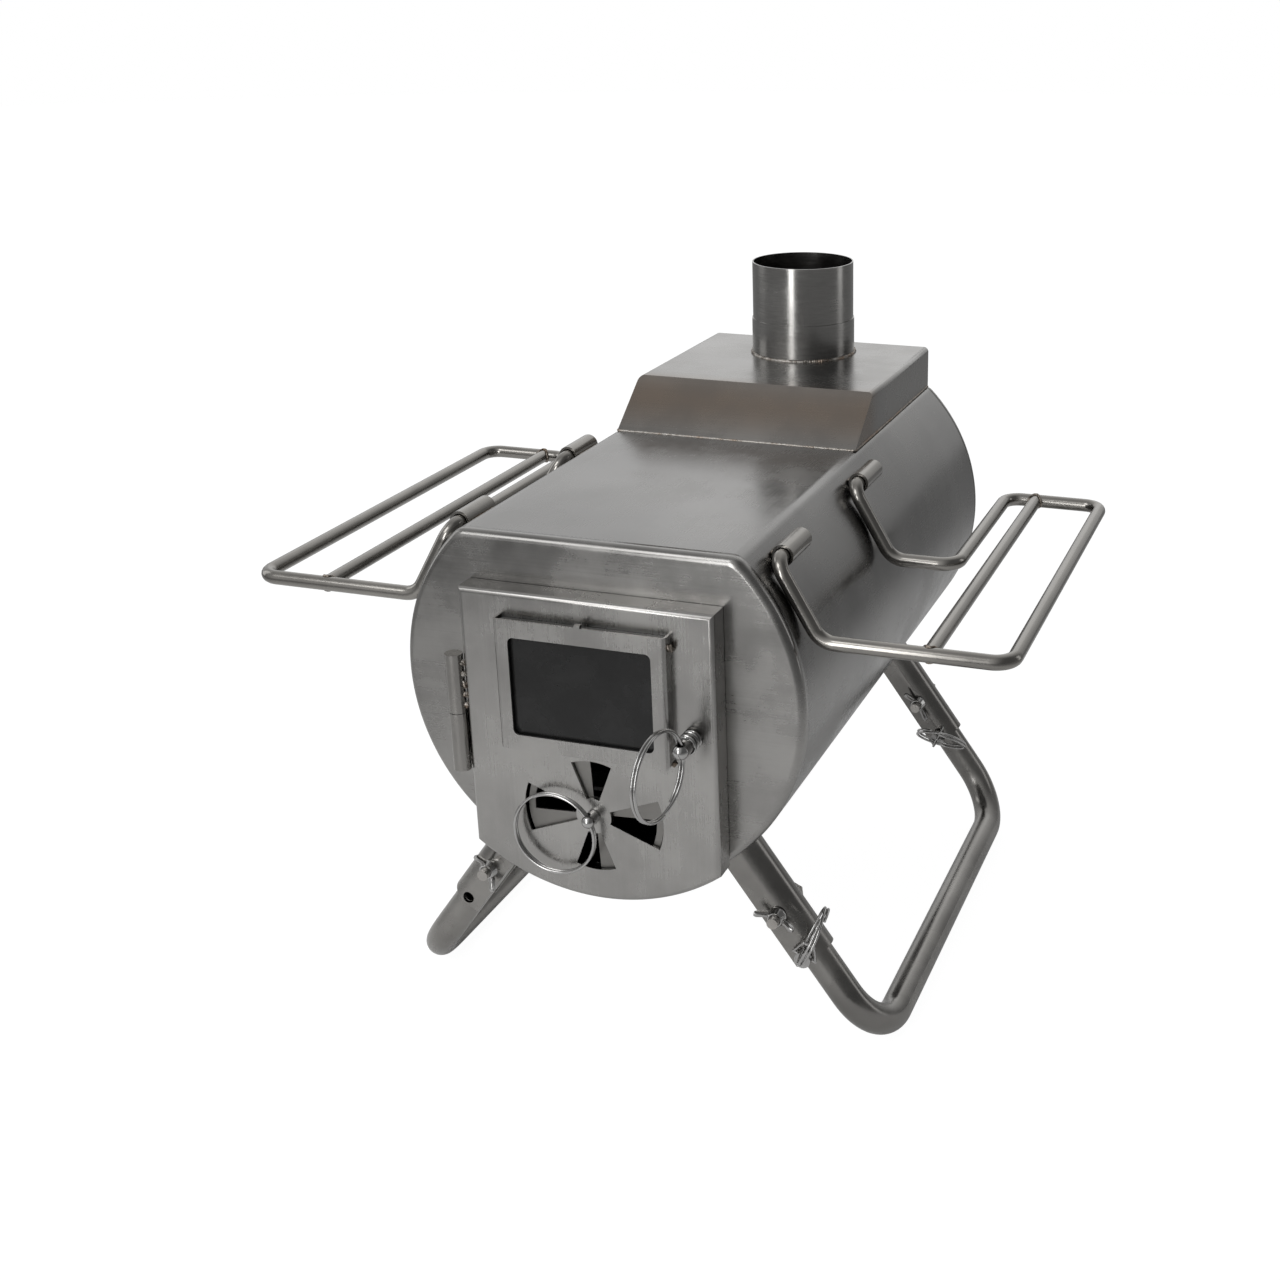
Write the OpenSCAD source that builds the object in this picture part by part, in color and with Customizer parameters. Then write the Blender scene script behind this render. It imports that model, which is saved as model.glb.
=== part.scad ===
// Tent wood stove: round drum with a flat cook top, front door with window and air vent,
// rear flue box, two fold-up side shelves and two folding tube legs.
// Built about the drum's axis with the front plate at y = 0, then placed on the floor.

/* [Drum] */
// outer radius of the drum
drum_r = 106.5; // [98:0.5:116]
// length of the drum, front to back
drum_l = 354.5; // [330:0.5:400]
// height of the flat cook top above the drum's axis
top_h = 77.6; // [72:0.2:82]
// sheet of the drum and its end caps
drum_t = 1.2; // [0.8:0.1:1.6]
// rounding of the end caps' rims
rim_r = 4; // [3:0.25:6]
// depth of an end cap
cap_depth = 7; // [6.5:0.5:12]

/* [Door] */
// width of the door
door_w = 133; // [124:0.5:140]
// height of the door's top edge above the drum's axis
door_top = 53.3; // [50:0.1:58]
// how far the door's foot laps past the drum's rim
door_lap = 1.5; // [0.5:0.25:3]
// depth of the door, from its face to the front plate
door_depth = 13.9; // [12:0.1:17]
// sheet of the door
door_t = 1.5; // [1:0.1:2]
// rounding of the door's front edges
door_edge_r = 2.5; // [2:0.25:3.5]
// how far the door covers the front plate round the firebox opening
door_cover = 6.5; // [5.5:0.25:8]
// width of the rope gasket
gasket_w = 4.2; // [3:0.1:5]

/* [Window] */
// width of the window opening
window_w = 74.6; // [66:0.2:78]
// height of the window opening
window_h = 51.3; // [46:0.1:53]
// height of the window's middle above the drum's axis
window_mid = 7.4; // [6:0.1:9]
// width of the window frame's sides
frame_side = 7.6; // [6:0.1:8]
// height of the window frame's head
frame_head = 9; // [8:0.1:10]
// height of the window frame's foot
frame_foot = 8.1; // [7:0.1:9]
// how far the window frame stands proud of the door
frame_depth = 7; // [6.8:0.1:9]
// sheet of the window frame
frame_t = 1.2; // [0.8:0.1:1.4]
// corner radius of the window opening
window_r = 3; // [2:0.25:5]
// thickness of the window glass
glass_t = 4; // [3:0.1:4.2]

/* [Vent] */
// how far the vent's middle lies below the drum's axis
vent_drop = 61; // [59:0.25:63]
// outer radius of the vent's side openings
vent_side_r = 37.5; // [33:0.25:38.5]
// outer radius of the vent's upper and lower openings
vent_end_r = 30; // [26:0.25:31]
// inner radius of the vent openings
vent_in_r = 9.5; // [8:0.25:12]
// half the angle of a vent opening
vent_half_angle = 21; // [16:0.5:22]
// radius of the damper disc
disc_r = 36.5; // [35:0.25:38]
// sheet of the damper disc
disc_t = 1.2; // [0.8:0.1:1.5]
// outer radius of the damper disc's openings
disc_slot_r = 33; // [28:0.25:34]
// how far the damper stands turned from fully open
disc_turn = 18; // [6:1:30]
// diameter of the damper's post
damper_post_d = 7; // [6.6:0.1:8]
// how far the damper's post stands out of the door
damper_post_out = 9.5; // [9:0.1:14]

/* [Latch] */
// distance from the door's free edge to the latch
latch_inset = 11.8; // [11:0.1:14]
// how far the latch lies below the drum's axis
latch_drop = 10.6; // [4:0.1:16]
// diameter of the latch spindle's shaft
latch_shaft_d = 5; // [4:0.1:6]
// diameter of the latch spindle's outer end
latch_end_d = 8.2; // [7.4:0.1:9.4]
// length of the latch spindle's outer end
latch_end_l = 9; // [7.5:0.1:11]
// length of the latch spring
spring_l = 9.6; // [8.5:0.1:12]
// outer diameter of the latch spring
spring_d = 10.4; // [9:0.1:12]
// wire of the latch spring
spring_wire = 1.2; // [0.8:0.05:1.4]
// number of turns of the latch spring
spring_turns = 4; // [3:0.5:4.5]

/* [Pull rings] */
// outer diameter of the pull rings
ring_d = 45; // [36:0.5:47]
// wire of the pull rings
ring_wire = 1.7; // [1.4:0.05:1.8]

/* [Hinge] */
// diameter of the hinge knuckles
knuckle_d = 9; // [8:0.1:10]
// length of one hinge knuckle
knuckle_l = 31.3; // [26:0.1:34]
// height of the upper knuckle's top above the drum's axis
hinge_top = 17.8; // [12:0.1:24]
// diameter of the hinge pin
hinge_pin_d = 5; // [4:0.1:6]

/* [Flue] */
// width of the flue box
box_w = 146; // [136:0.5:148]
// height of the flue box above the cook top
box_rise = 25.4; // [20:0.2:34]
// length of the flue box's flat top
box_top_l = 124; // [100:0.5:140]
// length of the flue box's sloping front, seen from above
box_slope_l = 35.2; // [20:0.2:50]
// sheet of the flue box
box_t = 1.2; // [0.8:0.1:1.6]
// outer diameter of the flue collar
collar_d = 63; // [58:0.5:70]
// wall of the flue collar
collar_t = 0.8; // [0.6:0.1:1.2]
// height of the flue collar above the flue box
collar_rise = 57; // [45:0.5:75]

/* [Side shelves] */
// diameter of the shelves' rod
rod_d = 7.6; // [6:0.1:8]
// outer diameter of the shelf sleeves
sleeve_d = 11; // [10:0.1:12]
// bore of the shelf sleeves
sleeve_bore = 8.4; // [8.2:0.1:9]
// length of a shelf sleeve
sleeve_l = 28; // [20:0.5:34]
// place of the sleeves round the drum, in degrees above level
sleeve_angle = 39.5; // [37:0.1:40]
// distance from the front plate to the front sleeves
front_sleeve_y = 28; // [20:0.5:34]
// distance from the front plate to the rear sleeves
rear_sleeve_y = 152.3; // [120:0.5:200]
// height of the open shelves above the drum's axis
shelf_h = 33; // [28:0.2:40]
// how far between the arms and the outer bar the shelves' inner bar lies
shelf_in_share = 0.383; // [0.35:0.005:0.45]
// how far between the arms and the outer bar the shelves' middle bar lies
shelf_mid_share = 0.575; // [0.55:0.005:0.8]
// distance of the shelves' outer bar from the middle of the stove
shelf_out = 201.5; // [190:0.5:225]
// length of the shelves
shelf_l = 250.5; // [230:0.5:270]
// lean of the shelves' arms from upright
arm_lean = 30; // [30:0.5:34]

/* [Legs] */
// diameter of the leg tubes
tube_d = 17; // [15:0.1:18]
// wall of the leg tubes
tube_t = 1.2; // [0.8:0.1:1.6]
// distance from a leg's pivot to its floor bar
leg_reach = 90.1; // [84:0.1:110]
// splay of the legs from upright
leg_splay = 35.5; // [30:0.5:40]
// middle bend radius of the legs
leg_bend_r = 32; // [26:0.5:40]
// distance from the drum to the leg pivots
pivot_out = 43.2; // [38:0.1:50]
// place of the leg pivots round the drum, in degrees below level
pivot_angle = 56.5; // [54:0.1:60]
// distance from the front plate to the front leg tubes
front_leg_y = 34.9; // [30:0.1:44]
// distance from the back of the drum to the rear leg tubes
rear_leg_inset = 41.1; // [34:0.1:50]
// sheet of the leg brackets
bracket_t = 2; // [1.5:0.1:2.5]
// length of a leg bracket below its pivot
bracket_below = 29.5; // [29:0.1:34]
// distance from a leg's pivot to its lock pin
lock_reach = 25.7; // [24:0.1:26]
// diameter of the lock pins
lock_d = 6; // [5:0.1:6.4]
// diameter of the pivot bolts
bolt_d = 6; // [5:0.1:6.4]
// span of a wing nut
wing_span = 23; // [20:0.5:25]

/* [Inside] */
// width of the fire grate
grate_w = 114; // [100:0.5:118]
// how far the fire grate lies below the drum's axis
grate_drop = 62; // [56:0.2:68]
// width of the baffle
baffle_w = 132; // [124:0.5:134]
// how far the baffle hangs below the cook top
baffle_drop = 20; // [14:0.2:30]

/* [Hidden] */
$fn = 64;

// fits and clearances
weld_gap = 0.1;
door_gap = 0.4;
loose_gap = 0.4;
pin_gap = 0.05;
seam = 0.02;
over = 1;

// colours of the materials
steel = [0.62, 0.61, 0.6];
dark_steel = [0.4, 0.4, 0.41];
bright = [0.8, 0.8, 0.82];
glass_tint = [0.15, 0.15, 0.17];
rope = [0.75, 0.72, 0.66];
iron = [0.3, 0.3, 0.3];

// door
door_r = drum_r + door_lap;
door_back = -door_gap;
opening_w = door_w - 2 * door_cover;
opening_top = door_top - door_cover;
opening_r = drum_r - rim_r - door_cover;
gasket_t = 5;

// window
frame_w = window_w + 2 * frame_side;
window_bottom = window_mid - window_h / 2;
window_top = window_mid + window_h / 2;
frame_bottom = window_bottom - frame_foot;
frame_top = window_top + frame_head;
frame_bend_r = 2.4;
frame_tab_w = 3;
frame_tab_h = 1.4;
glass_gap = 0.3;
glass_y = -door_depth - glass_gap - glass_t;
glass_gasket_t = frame_depth - frame_t - glass_t - 2 * glass_gap;
glass_side = 1.2;
glass_lap = 3.6;

// vent and damper
vent_z = -vent_drop;
disc_gap = 0.8;
disc_y = -door_depth + door_t + disc_gap;
post_play_share = 0.8;
post_hole_d = ring_wire * (2 + post_play_share);
damper_eye_out = 5.4;
damper_shaft_d = 5;
damper_ring_lean = 27;
rivet_d = 10;
rivet_t = 1.4;

// pull rings
ring_mid_r = (ring_d - ring_wire) / 2;
ring_half = ring_wire / 2;
ring_yaw = 8;
ring_droop = 10;

// latch
latch_x = door_w / 2 - latch_inset;
latch_z = -latch_drop;
spring_play = 0.35;
latch_end_y = -door_depth - spring_l - 2 * spring_play;
latch_eye_y = latch_end_y - latch_end_l / 2;
tongue_w = 7;
tongue_l = 16;
tongue_t = 2;
tongue_y = drum_t + 0.8;
tongue_nut_t = 1.6;
spring_sides = 6;
spring_rings = 8;

// hinge
hinge_gap = 0.5;
hinge_x = -(door_w / 2 + hinge_gap + knuckle_d / 2);
hinge_y = -door_depth + hinge_gap;
hinge_split = 0.3;
hinge_web_t = 5;
knuckle_cap = 2.5;

// flue box and collar
box_edge_r = 3;
box_back_inset = 4.5;
box_back = drum_l - box_back_inset;
box_front = box_back - box_top_l;
box_foot = box_front - box_slope_l;
box_top = top_h + box_rise;
collar_step = 0.6;
collar_step_rise = 22;
collar_edge = 1.6;
collar_y = box_back - collar_edge - collar_step - collar_d / 2;
flue_hole_edge = 14;

// side shelves
sleeve_reach = drum_r + weld_gap + sleeve_d / 2;
sleeve_x = sleeve_reach * cos(sleeve_angle);
sleeve_z = sleeve_reach * sin(sleeve_angle);
arm_set = 9.4;
rod_in = 23;
neck_r = 8;
knee_r = 12;
corner_r = 10;
front_arm_y = front_sleeve_y - arm_set;
rear_arm_y = rear_sleeve_y - arm_set;
shelf_back_y = front_arm_y + shelf_l;
knee_x = sleeve_x + (sleeve_z - shelf_h) * tan(arm_lean);
shelf_in = knee_x + shelf_in_share * (shelf_out - knee_x);
shelf_mid = knee_x + shelf_mid_share * (shelf_out - knee_x);
knee_turn = 90 - arm_lean;
arm_l = (sleeve_z - shelf_h) / cos(arm_lean) - knee_r * tan(knee_turn / 2);
knee_end_x = knee_x + knee_r * tan(knee_turn / 2);

// legs and brackets
pivot_reach = drum_r + pivot_out;
pivot_x = pivot_reach * cos(pivot_angle);
pivot_z = -pivot_reach * sin(pivot_angle);
leg_dir = [sin(leg_splay), 0, -cos(leg_splay)];
rear_leg_y = drum_l - rear_leg_inset;
web_in_r = tube_d / 2 + loose_gap;
web_out_r = web_in_r + bracket_t;
bracket_in = tube_d / 2;
bracket_above = 60;
hole_play = 0.3;
lock_head_d = 8.8;
lock_head_t = 3;
lock_neck = 2.6;
lock_tail = 3;
bolt_head_af = 10;
bolt_head_t = 4;
bolt_out = 9;
nut_base_d = 10.5;
nut_top_d = 8.5;
nut_t = 5;
wing_t = 2.6;
wing_h = 7.5;
wing_tip_r = 3.4;
wing_turns = [-66, -17, 25, -48];
link_wire = 1.4;
link_bend_d = 1.6;
link_w = 13;
link_reach = 11;
link_nose_r = 2.8;
link_ring_gap = 1.4;
lock_ring_d = 33.4;
lock_ring_wire = 1.8;
lock_ring_mid_r = (lock_ring_d - lock_ring_wire) / 2;

// inside
grate_t = 2;
grate_front = 14;
grate_back_gap = 16;
slot_w = 8;
slot_l = 26;
slot_pitch_x = 18;
slot_pitch_y = 38;
baffle_t = 1.5;
baffle_end_gap = 18;
baffle_front = 12;

// where the stove stands
axis_h = -pivot_z + leg_reach * cos(leg_splay) + tube_d / 2;
front_y = latch_eye_y - ring_mid_r * cos(ring_yaw) * (1 + cos(ring_droop)) - ring_half * (1 + sin(ring_yaw));
mid_y = (front_y + drum_l) / 2;

module placed() translate([0, -mid_y, axis_h]) children();

// turns a flat outline drawn in X and Z into a plate that runs back from y by depth
module plate(y, depth) translate([0, y + depth, 0]) rotate([90, 0, 0]) linear_extrude(depth) children();

module disc_at(p, d, l) translate(p) rotate([-90, 0, 0]) cylinder(d = d, h = l);

module side(s) mirror([s < 0 ? 1 : 0, 0, 0]) children();

function unit(v) = v / norm(v);

// a straight bar from p to q
module bar(p, q, d) {
    v = q - p;
    translate(p)
        rotate([0, acos(v[2] / norm(v)), atan2(v[1], v[0])])
            cylinder(d = d, h = norm(v));
}

// an elbow about +Y from -X, the way a rod that runs along -Z turns towards +X
module elbow(turn, r) translate([r, 0, 0]) rotate([90, 0, 0]) rotate([0, 0, 180])
    rotate_extrude(angle = turn) translate([r, 0]) children();

// the same about +X: a rod that runs along -Z turns towards +Y
module elbow_back(r) rotate([0, 0, 90]) elbow(90, r) children();

// drum outline: a circle cut by the cook top
module drum_outline(inset) {
    r = drum_r - inset;
    intersection() {
        circle(r = r, $fn = 128);
        translate([-r, -r]) square([2 * r, r + top_h - inset]);
    }
}

// a pressed end cap whose face is at y = 0 and whose rim runs back
module cap_solid(inset) {
    b = rim_r - inset;
    r = drum_r - inset;
    h = top_h - inset;
    depth = cap_depth - inset;
    translate([0, inset, 0])
        intersection() {
            rotate([-90, 0, 0])
                rotate_extrude($fn = 128) {
                    square([r - b, depth]);
                    translate([0, b]) square([r, depth - b]);
                    translate([r - b, b]) circle(r = b, $fn = 48);
                }
            translate([-r, 0, 0])
                rotate([90, 0, 90])
                    linear_extrude(2 * r) {
                        translate([0, -r]) square([depth, r + h - b]);
                        translate([b, -r]) square([depth - b, r + h]);
                        translate([b, h - b]) circle(r = b);
                    }
        }
}

module cap() {
    difference() {
        cap_solid(0);
        cap_solid(drum_t);
        plate(cap_depth - drum_t, 2 * drum_t) drum_outline(drum_t);
    }
}

// the door's outline: straight head and sides over a foot concentric with the drum
module door_outline(w, top, r) {
    intersection() {
        circle(r = r, $fn = 128);
        translate([-w / 2, -r]) square([w, r + top]);
    }
}

// the door's cap with its rounded front edges, made smaller by inset
module door_solid(inset) {
    w = door_w - 2 * inset;
    top = door_top - inset;
    r = door_r - inset;
    b = door_edge_r - inset;
    depth = door_depth - door_gap - inset;
    translate([0, -door_depth + inset, 0])
        intersection() {
            translate([0, 0, -r]) linear_extrude(r + top) {
                translate([-w / 2, b]) square([w, depth - b]);
                translate([-w / 2 + b, 0]) square([w - 2 * b, depth]);
                for (s = [-1, 1]) translate([s * (w / 2 - b), b]) circle(r = b);
            }
            translate([-w / 2, 0, 0])
                rotate([90, 0, 90])
                    linear_extrude(w) {
                        translate([0, -r]) square([depth, r + top - b]);
                        translate([b, -r]) square([depth - b, r + top]);
                        translate([b, top - b]) circle(r = b);
                    }
            rotate([-90, 0, 0])
                rotate_extrude($fn = 128) {
                    square([r - b, depth]);
                    translate([0, b]) square([r, depth - b]);
                    translate([r - b, b]) circle(r = b);
                }
        }
}

module rounded_box(w, h, r) {
    translate([-w / 2 + r, -h / 2]) square([w - 2 * r, h]);
    translate([-w / 2, -h / 2 + r]) square([w, h - 2 * r]);
    for (i = [-1, 1], j = [-1, 1]) translate([i * (w / 2 - r), j * (h / 2 - r)]) circle(r = r);
}

// one vent opening about its middle direction, in degrees from +X
module vent_slot(direction, r_out) {
    far = r_out * 2;
    rotate(direction)
        intersection() {
            difference() {
                circle(r = r_out);
                circle(r = vent_in_r);
            }
            polygon([[0, 0], [far * cos(vent_half_angle), far * sin(vent_half_angle)],
                     [far, 0], [far * cos(vent_half_angle), -far * sin(vent_half_angle)]]);
        }
}

// a double-turn split ring about +Z
module split_ring(mid_r, wire) {
    rotate_extrude() {
        for (s = [-1, 1]) translate([mid_r, s * wire / 2]) circle(d = wire);
        translate([mid_r, 0]) square([wire / 2, wire], center = true);
    }
}

module pull_ring() split_ring(ring_mid_r, ring_wire);

module drum_shell() color(steel) placed() {
    difference() {
        plate(cap_depth, drum_l - 2 * cap_depth)
            difference() {
                drum_outline(0);
                drum_outline(drum_t);
            }
        translate([-box_w / 2 + flue_hole_edge, box_foot + flue_hole_edge, 0])
            cube([box_w - 2 * flue_hole_edge, box_back - box_foot - 2 * flue_hole_edge, top_h + over]);
    }
}

module front_plate() color(steel) placed() {
    difference() {
        cap();
        plate(-over, drum_t + 2 * over) door_outline(opening_w, opening_top, opening_r);
    }
}

module rear_plate() color(steel) placed() {
    translate([0, drum_l, 0]) mirror([0, 1, 0]) cap();
}

// the flue box's outer shape, made smaller by inset
module box_solid(inset) {
    w = box_w - 2 * inset;
    top = box_top - inset;
    b = box_edge_r - inset;
    low = top_h + (inset > 0 ? -over : weld_gap);
    lean = box_slope_l / box_rise;
    set = inset * norm([box_slope_l, box_rise]) / box_rise;
    intersection() {
        plate(box_foot - 2 * over, box_back - inset - box_foot + 2 * over) {
            translate([-w / 2, low]) square([w, top - b - low]);
            translate([-w / 2 + b, low]) square([w - 2 * b, top - low]);
            for (s = [-1, 1]) translate([s * (w / 2 - b), top - b]) circle(r = b);
        }
        translate([-w / 2 - over, 0, 0])
            rotate([90, 0, 90])
                linear_extrude(w + 2 * over)
                    polygon([
                        [box_foot + set + (low - top_h - over) * lean, low - over],
                        [box_back + over, low - over],
                        [box_back + over, top + over],
                        [box_foot + set + (top - top_h + over) * lean, top + over]
                    ]);
    }
}

module flue_box() color(steel) placed() {
    difference() {
        box_solid(0);
        box_solid(box_t);
        translate([0, collar_y, top_h]) cylinder(d = collar_d - 2 * collar_t, h = box_rise + over);
    }
}

module flue_collar() color(steel) placed() {
    translate([0, collar_y, box_top])
        difference() {
            union() {
                cylinder(d = collar_d, h = collar_rise);
                cylinder(d = collar_d + 2 * collar_step, h = collar_step_rise);
            }
            translate([0, 0, -over]) cylinder(d = collar_d - 2 * collar_t, h = collar_rise + 2 * over);
        }
}

module door_shell() color(steel) placed() {
    difference() {
        door_solid(0);
        door_solid(door_t);
        plate(-door_gap - door_t, door_t + over)
            door_outline(door_w - 2 * door_t, door_top - door_t, door_r - door_t);
        translate([0, 0, window_mid])
            plate(-door_depth - over, door_t + 2 * over) rounded_box(window_w, window_h, window_r);
        translate([0, 0, vent_z]) plate(-door_depth - over, door_t + 2 * over) {
            for (a = [0, 180]) vent_slot(a, vent_side_r);
            for (a = [90, 270]) vent_slot(a, vent_end_r);
        }
        disc_at([0, -door_depth - over, vent_z], damper_shaft_d + 2 * hole_play, door_t + 2 * over);
        disc_at([latch_x, -door_depth - over, latch_z], latch_shaft_d + 2 * hole_play, door_t + 2 * over);
    }
}

module door_gasket() color(rope) placed() {
    plate(-door_gap - gasket_t, gasket_t)
        difference() {
            door_outline(door_w - 2 * (door_t + weld_gap), door_top - door_t - weld_gap,
                         door_r - door_t - weld_gap);
            door_outline(door_w - 2 * (door_t + gasket_w), door_top - door_t - gasket_w,
                         door_r - door_t - gasket_w);
        }
}

module window_frame() color(steel) placed() {
    y = -door_depth - frame_depth;
    h = frame_top - frame_bottom;
    difference() {
        intersection() {
            translate([0, 0, frame_bottom]) linear_extrude(h) {
                translate([-frame_w / 2, y + frame_bend_r]) square([frame_w, frame_depth - frame_bend_r - weld_gap]);
                translate([-frame_w / 2 + frame_bend_r, y]) square([frame_w - 2 * frame_bend_r, frame_depth - weld_gap]);
                for (s = [-1, 1]) translate([s * (frame_w / 2 - frame_bend_r), y + frame_bend_r]) circle(r = frame_bend_r);
            }
            translate([0, 0, (frame_bottom + frame_top + frame_bend_r) / 2])
                plate(y, frame_depth) rounded_box(frame_w, h + frame_bend_r, frame_bend_r);
        }
        translate([-frame_w / 2 + frame_t, y + frame_t, frame_bottom + frame_t])
            cube([frame_w - 2 * frame_t, frame_depth, h]);
        translate([0, 0, window_mid]) plate(y - over, frame_t + 2 * over) rounded_box(window_w, window_h, window_r);
    }
    translate([-frame_tab_w / 2, y, frame_top]) cube([frame_tab_w, frame_t + glass_gasket_t, frame_tab_h]);
}

module glass_outline(inset) {
    translate([-frame_w / 2 + frame_t + glass_side + inset, frame_bottom + frame_t + glass_gap + inset])
        square([frame_w - 2 * (frame_t + glass_side + inset),
                frame_top - frame_bottom - frame_t - glass_gap - glass_side - 2 * inset]);
}

module window_glass() color(glass_tint) placed() plate(glass_y, glass_t) glass_outline(0);

module glass_gasket() color(rope) placed()
    plate(glass_y - glass_gap - glass_gasket_t, glass_gasket_t + glass_gap)
        difference() {
            glass_outline(0);
            glass_outline(glass_lap);
        }

module hinge_knuckle_upper() color(steel) placed()
    translate([hinge_x, hinge_y, hinge_top - knuckle_l])
        difference() {
            cylinder(d = knuckle_d, h = knuckle_l);
            translate([0, 0, -over])
                cylinder(d = hinge_pin_d + 2 * pin_gap, h = knuckle_l + over - knuckle_cap);
        }

module hinge_knuckle_lower() color(steel) placed()
    translate([hinge_x, hinge_y, hinge_top - 2 * knuckle_l - hinge_split])
        difference() {
            union() {
                cylinder(d = knuckle_d, h = knuckle_l);
                translate([-hinge_web_t / 2, 0, 0]) cube([hinge_web_t, -hinge_y - weld_gap, knuckle_l]);
            }
            translate([0, 0, -over]) cylinder(d = hinge_pin_d, h = knuckle_l + 2 * over);
        }

module hinge_pin() color(bright) placed()
    translate([hinge_x, hinge_y, hinge_top - 2 * knuckle_l - hinge_split])
        cylinder(d = hinge_pin_d, h = 2 * knuckle_l + hinge_split - knuckle_cap - loose_gap);

module damper_disc() color(dark_steel) placed()
    translate([0, 0, vent_z])
        plate(disc_y, disc_t)
            difference() {
                circle(r = disc_r);
                for (a = [0 : 3]) vent_slot(a * 90 - disc_turn, disc_slot_r);
                circle(d = damper_shaft_d);
            }

module damper_post() color(bright) placed() {
    tip = damper_post_d / 2;
    difference() {
        union() {
            disc_at([0, -door_depth - damper_post_out + tip, vent_z], damper_post_d,
                    damper_post_out - tip - loose_gap);
            translate([0, -door_depth - damper_post_out + tip, vent_z]) sphere(d = damper_post_d);
            disc_at([0, -door_depth - loose_gap, vent_z], damper_shaft_d,
                    loose_gap + door_t + disc_gap + disc_t + rivet_t / 2);
            disc_at([0, disc_y + disc_t, vent_z], rivet_d, rivet_t);
        }
        translate([0, -door_depth - damper_eye_out, vent_z])
            rotate([0, -damper_ring_lean, 0])
                cylinder(d = post_hole_d, h = 2 * damper_post_d, center = true);
    }
}

module damper_ring() color(bright) placed()
    translate([0, -door_depth - damper_eye_out, vent_z])
        rotate([0, -damper_ring_lean, 0])
            translate([-ring_mid_r, 0, 0])
                rotate([90, 0, 0]) pull_ring();

module latch_spindle() color(bright) placed() {
    tip = latch_end_d / 2;
    difference() {
        union() {
            disc_at([latch_x, latch_end_y - latch_end_l + tip, latch_z], latch_end_d, latch_end_l - tip);
            translate([latch_x, latch_end_y - latch_end_l + tip, latch_z]) sphere(d = latch_end_d);
            disc_at([latch_x, latch_end_y - over, latch_z], latch_shaft_d,
                    tongue_y + tongue_t + tongue_nut_t - latch_end_y + over);
        }
        translate([latch_x, latch_eye_y, latch_z])
            rotate([ring_droop, 0, 0]) cylinder(d = post_hole_d, h = 2 * latch_end_d, center = true);
    }
}

module latch_tongue() color(dark_steel) placed() {
    difference() {
        union() {
            disc_at([latch_x, tongue_y, latch_z], tongue_w, tongue_t);
            disc_at([latch_x, tongue_y, latch_z + tongue_l - tongue_w], tongue_w, tongue_t);
            translate([latch_x - tongue_w / 2, tongue_y, latch_z]) cube([tongue_w, tongue_t, tongue_l - tongue_w]);
        }
        disc_at([latch_x, tongue_y - over, latch_z], latch_shaft_d, tongue_t + 2 * over);
    }
}

// the latch spring: one unbroken wire wound about the spindle
spring_mid_r = (spring_d - spring_wire) / 2;
spring_pitch = (spring_l - spring_wire) / spring_turns;
spring_count = ceil(spring_turns * spring_rings);
function spring_mid(i) = let (a = i * 360 * spring_turns / spring_count)
    [spring_mid_r * cos(a), spring_wire / 2 + spring_pitch * a / 360, spring_mid_r * sin(a)];
function spring_point(i, k) = let (
        a = i * 360 * spring_turns / spring_count,
        b = k * 360 / spring_sides,
        m = spring_mid(i),
        out = [cos(a), 0, sin(a)]
    ) m + out * (spring_wire / 2) * cos(b) + [0, 1, 0] * (spring_wire / 2) * sin(b);
spring_self_gap = min([for (i = [0 : spring_count - spring_rings], j = [i + spring_rings - 2 : min(i + spring_rings + 2, spring_count)])
    norm(spring_mid(j) - spring_mid(i))]) - spring_wire;
echo(spring_self_gap = spring_self_gap);

module latch_spring() color(bright) placed() {
    n = spring_sides;
    points = [for (i = [0 : spring_count], k = [0 : n - 1]) spring_point(i, k)];
    walls = [for (i = [0 : spring_count - 1], k = [0 : n - 1])
        each let (p = i * n + k, q = i * n + (k + 1) % n) [[p, q, q + n], [p, q + n, p + n]]];
    ends = [for (k = [1 : n - 2]) each [[0, k + 1, k],
        [spring_count * n, spring_count * n + k, spring_count * n + k + 1]]];
    translate([latch_x, latch_end_y + spring_play, latch_z]) polyhedron(points, concat(walls, ends));
}

module latch_ring() color(bright) placed()
    translate([latch_x, latch_eye_y, latch_z])
        rotate([ring_droop, 0, -ring_yaw])
            translate([0, -ring_mid_r, 0])
                rotate([0, 90, 0]) pull_ring();

module sleeves(s) side(s)
    for (y = [front_sleeve_y, rear_sleeve_y])
        difference() {
            disc_at([sleeve_x, y, sleeve_z], sleeve_d, sleeve_l);
            disc_at([sleeve_x, y - over, sleeve_z], sleeve_bore, sleeve_l + 2 * over);
        }

module shelf_sleeves_left() color(steel) placed() sleeves(-1);
module shelf_sleeves_right() color(steel) placed() sleeves(1);

// stands children at a shelf sleeve's axis, with the shelf's arm along -Z
module arm_space(y) translate([sleeve_x, y, sleeve_z]) rotate([0, -arm_lean, 0]) children();

// from inside a sleeve, out of its front, down the arm and out to the shelf's level
module shelf_arm(sleeve_y) {
    arm_y = sleeve_y - arm_set;
    arm_space(arm_y) {
        disc_at([0, neck_r, 0], rod_d, arm_set + rod_in - neck_r);
        translate([0, neck_r, -neck_r]) rotate([0, 90, 0]) corner(180, neck_r);
        translate([0, 0, -arm_l]) cylinder(d = rod_d, h = arm_l - neck_r);
        translate([0, 0, -arm_l]) elbow(knee_turn, knee_r) circle(d = rod_d);
    }
}

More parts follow.
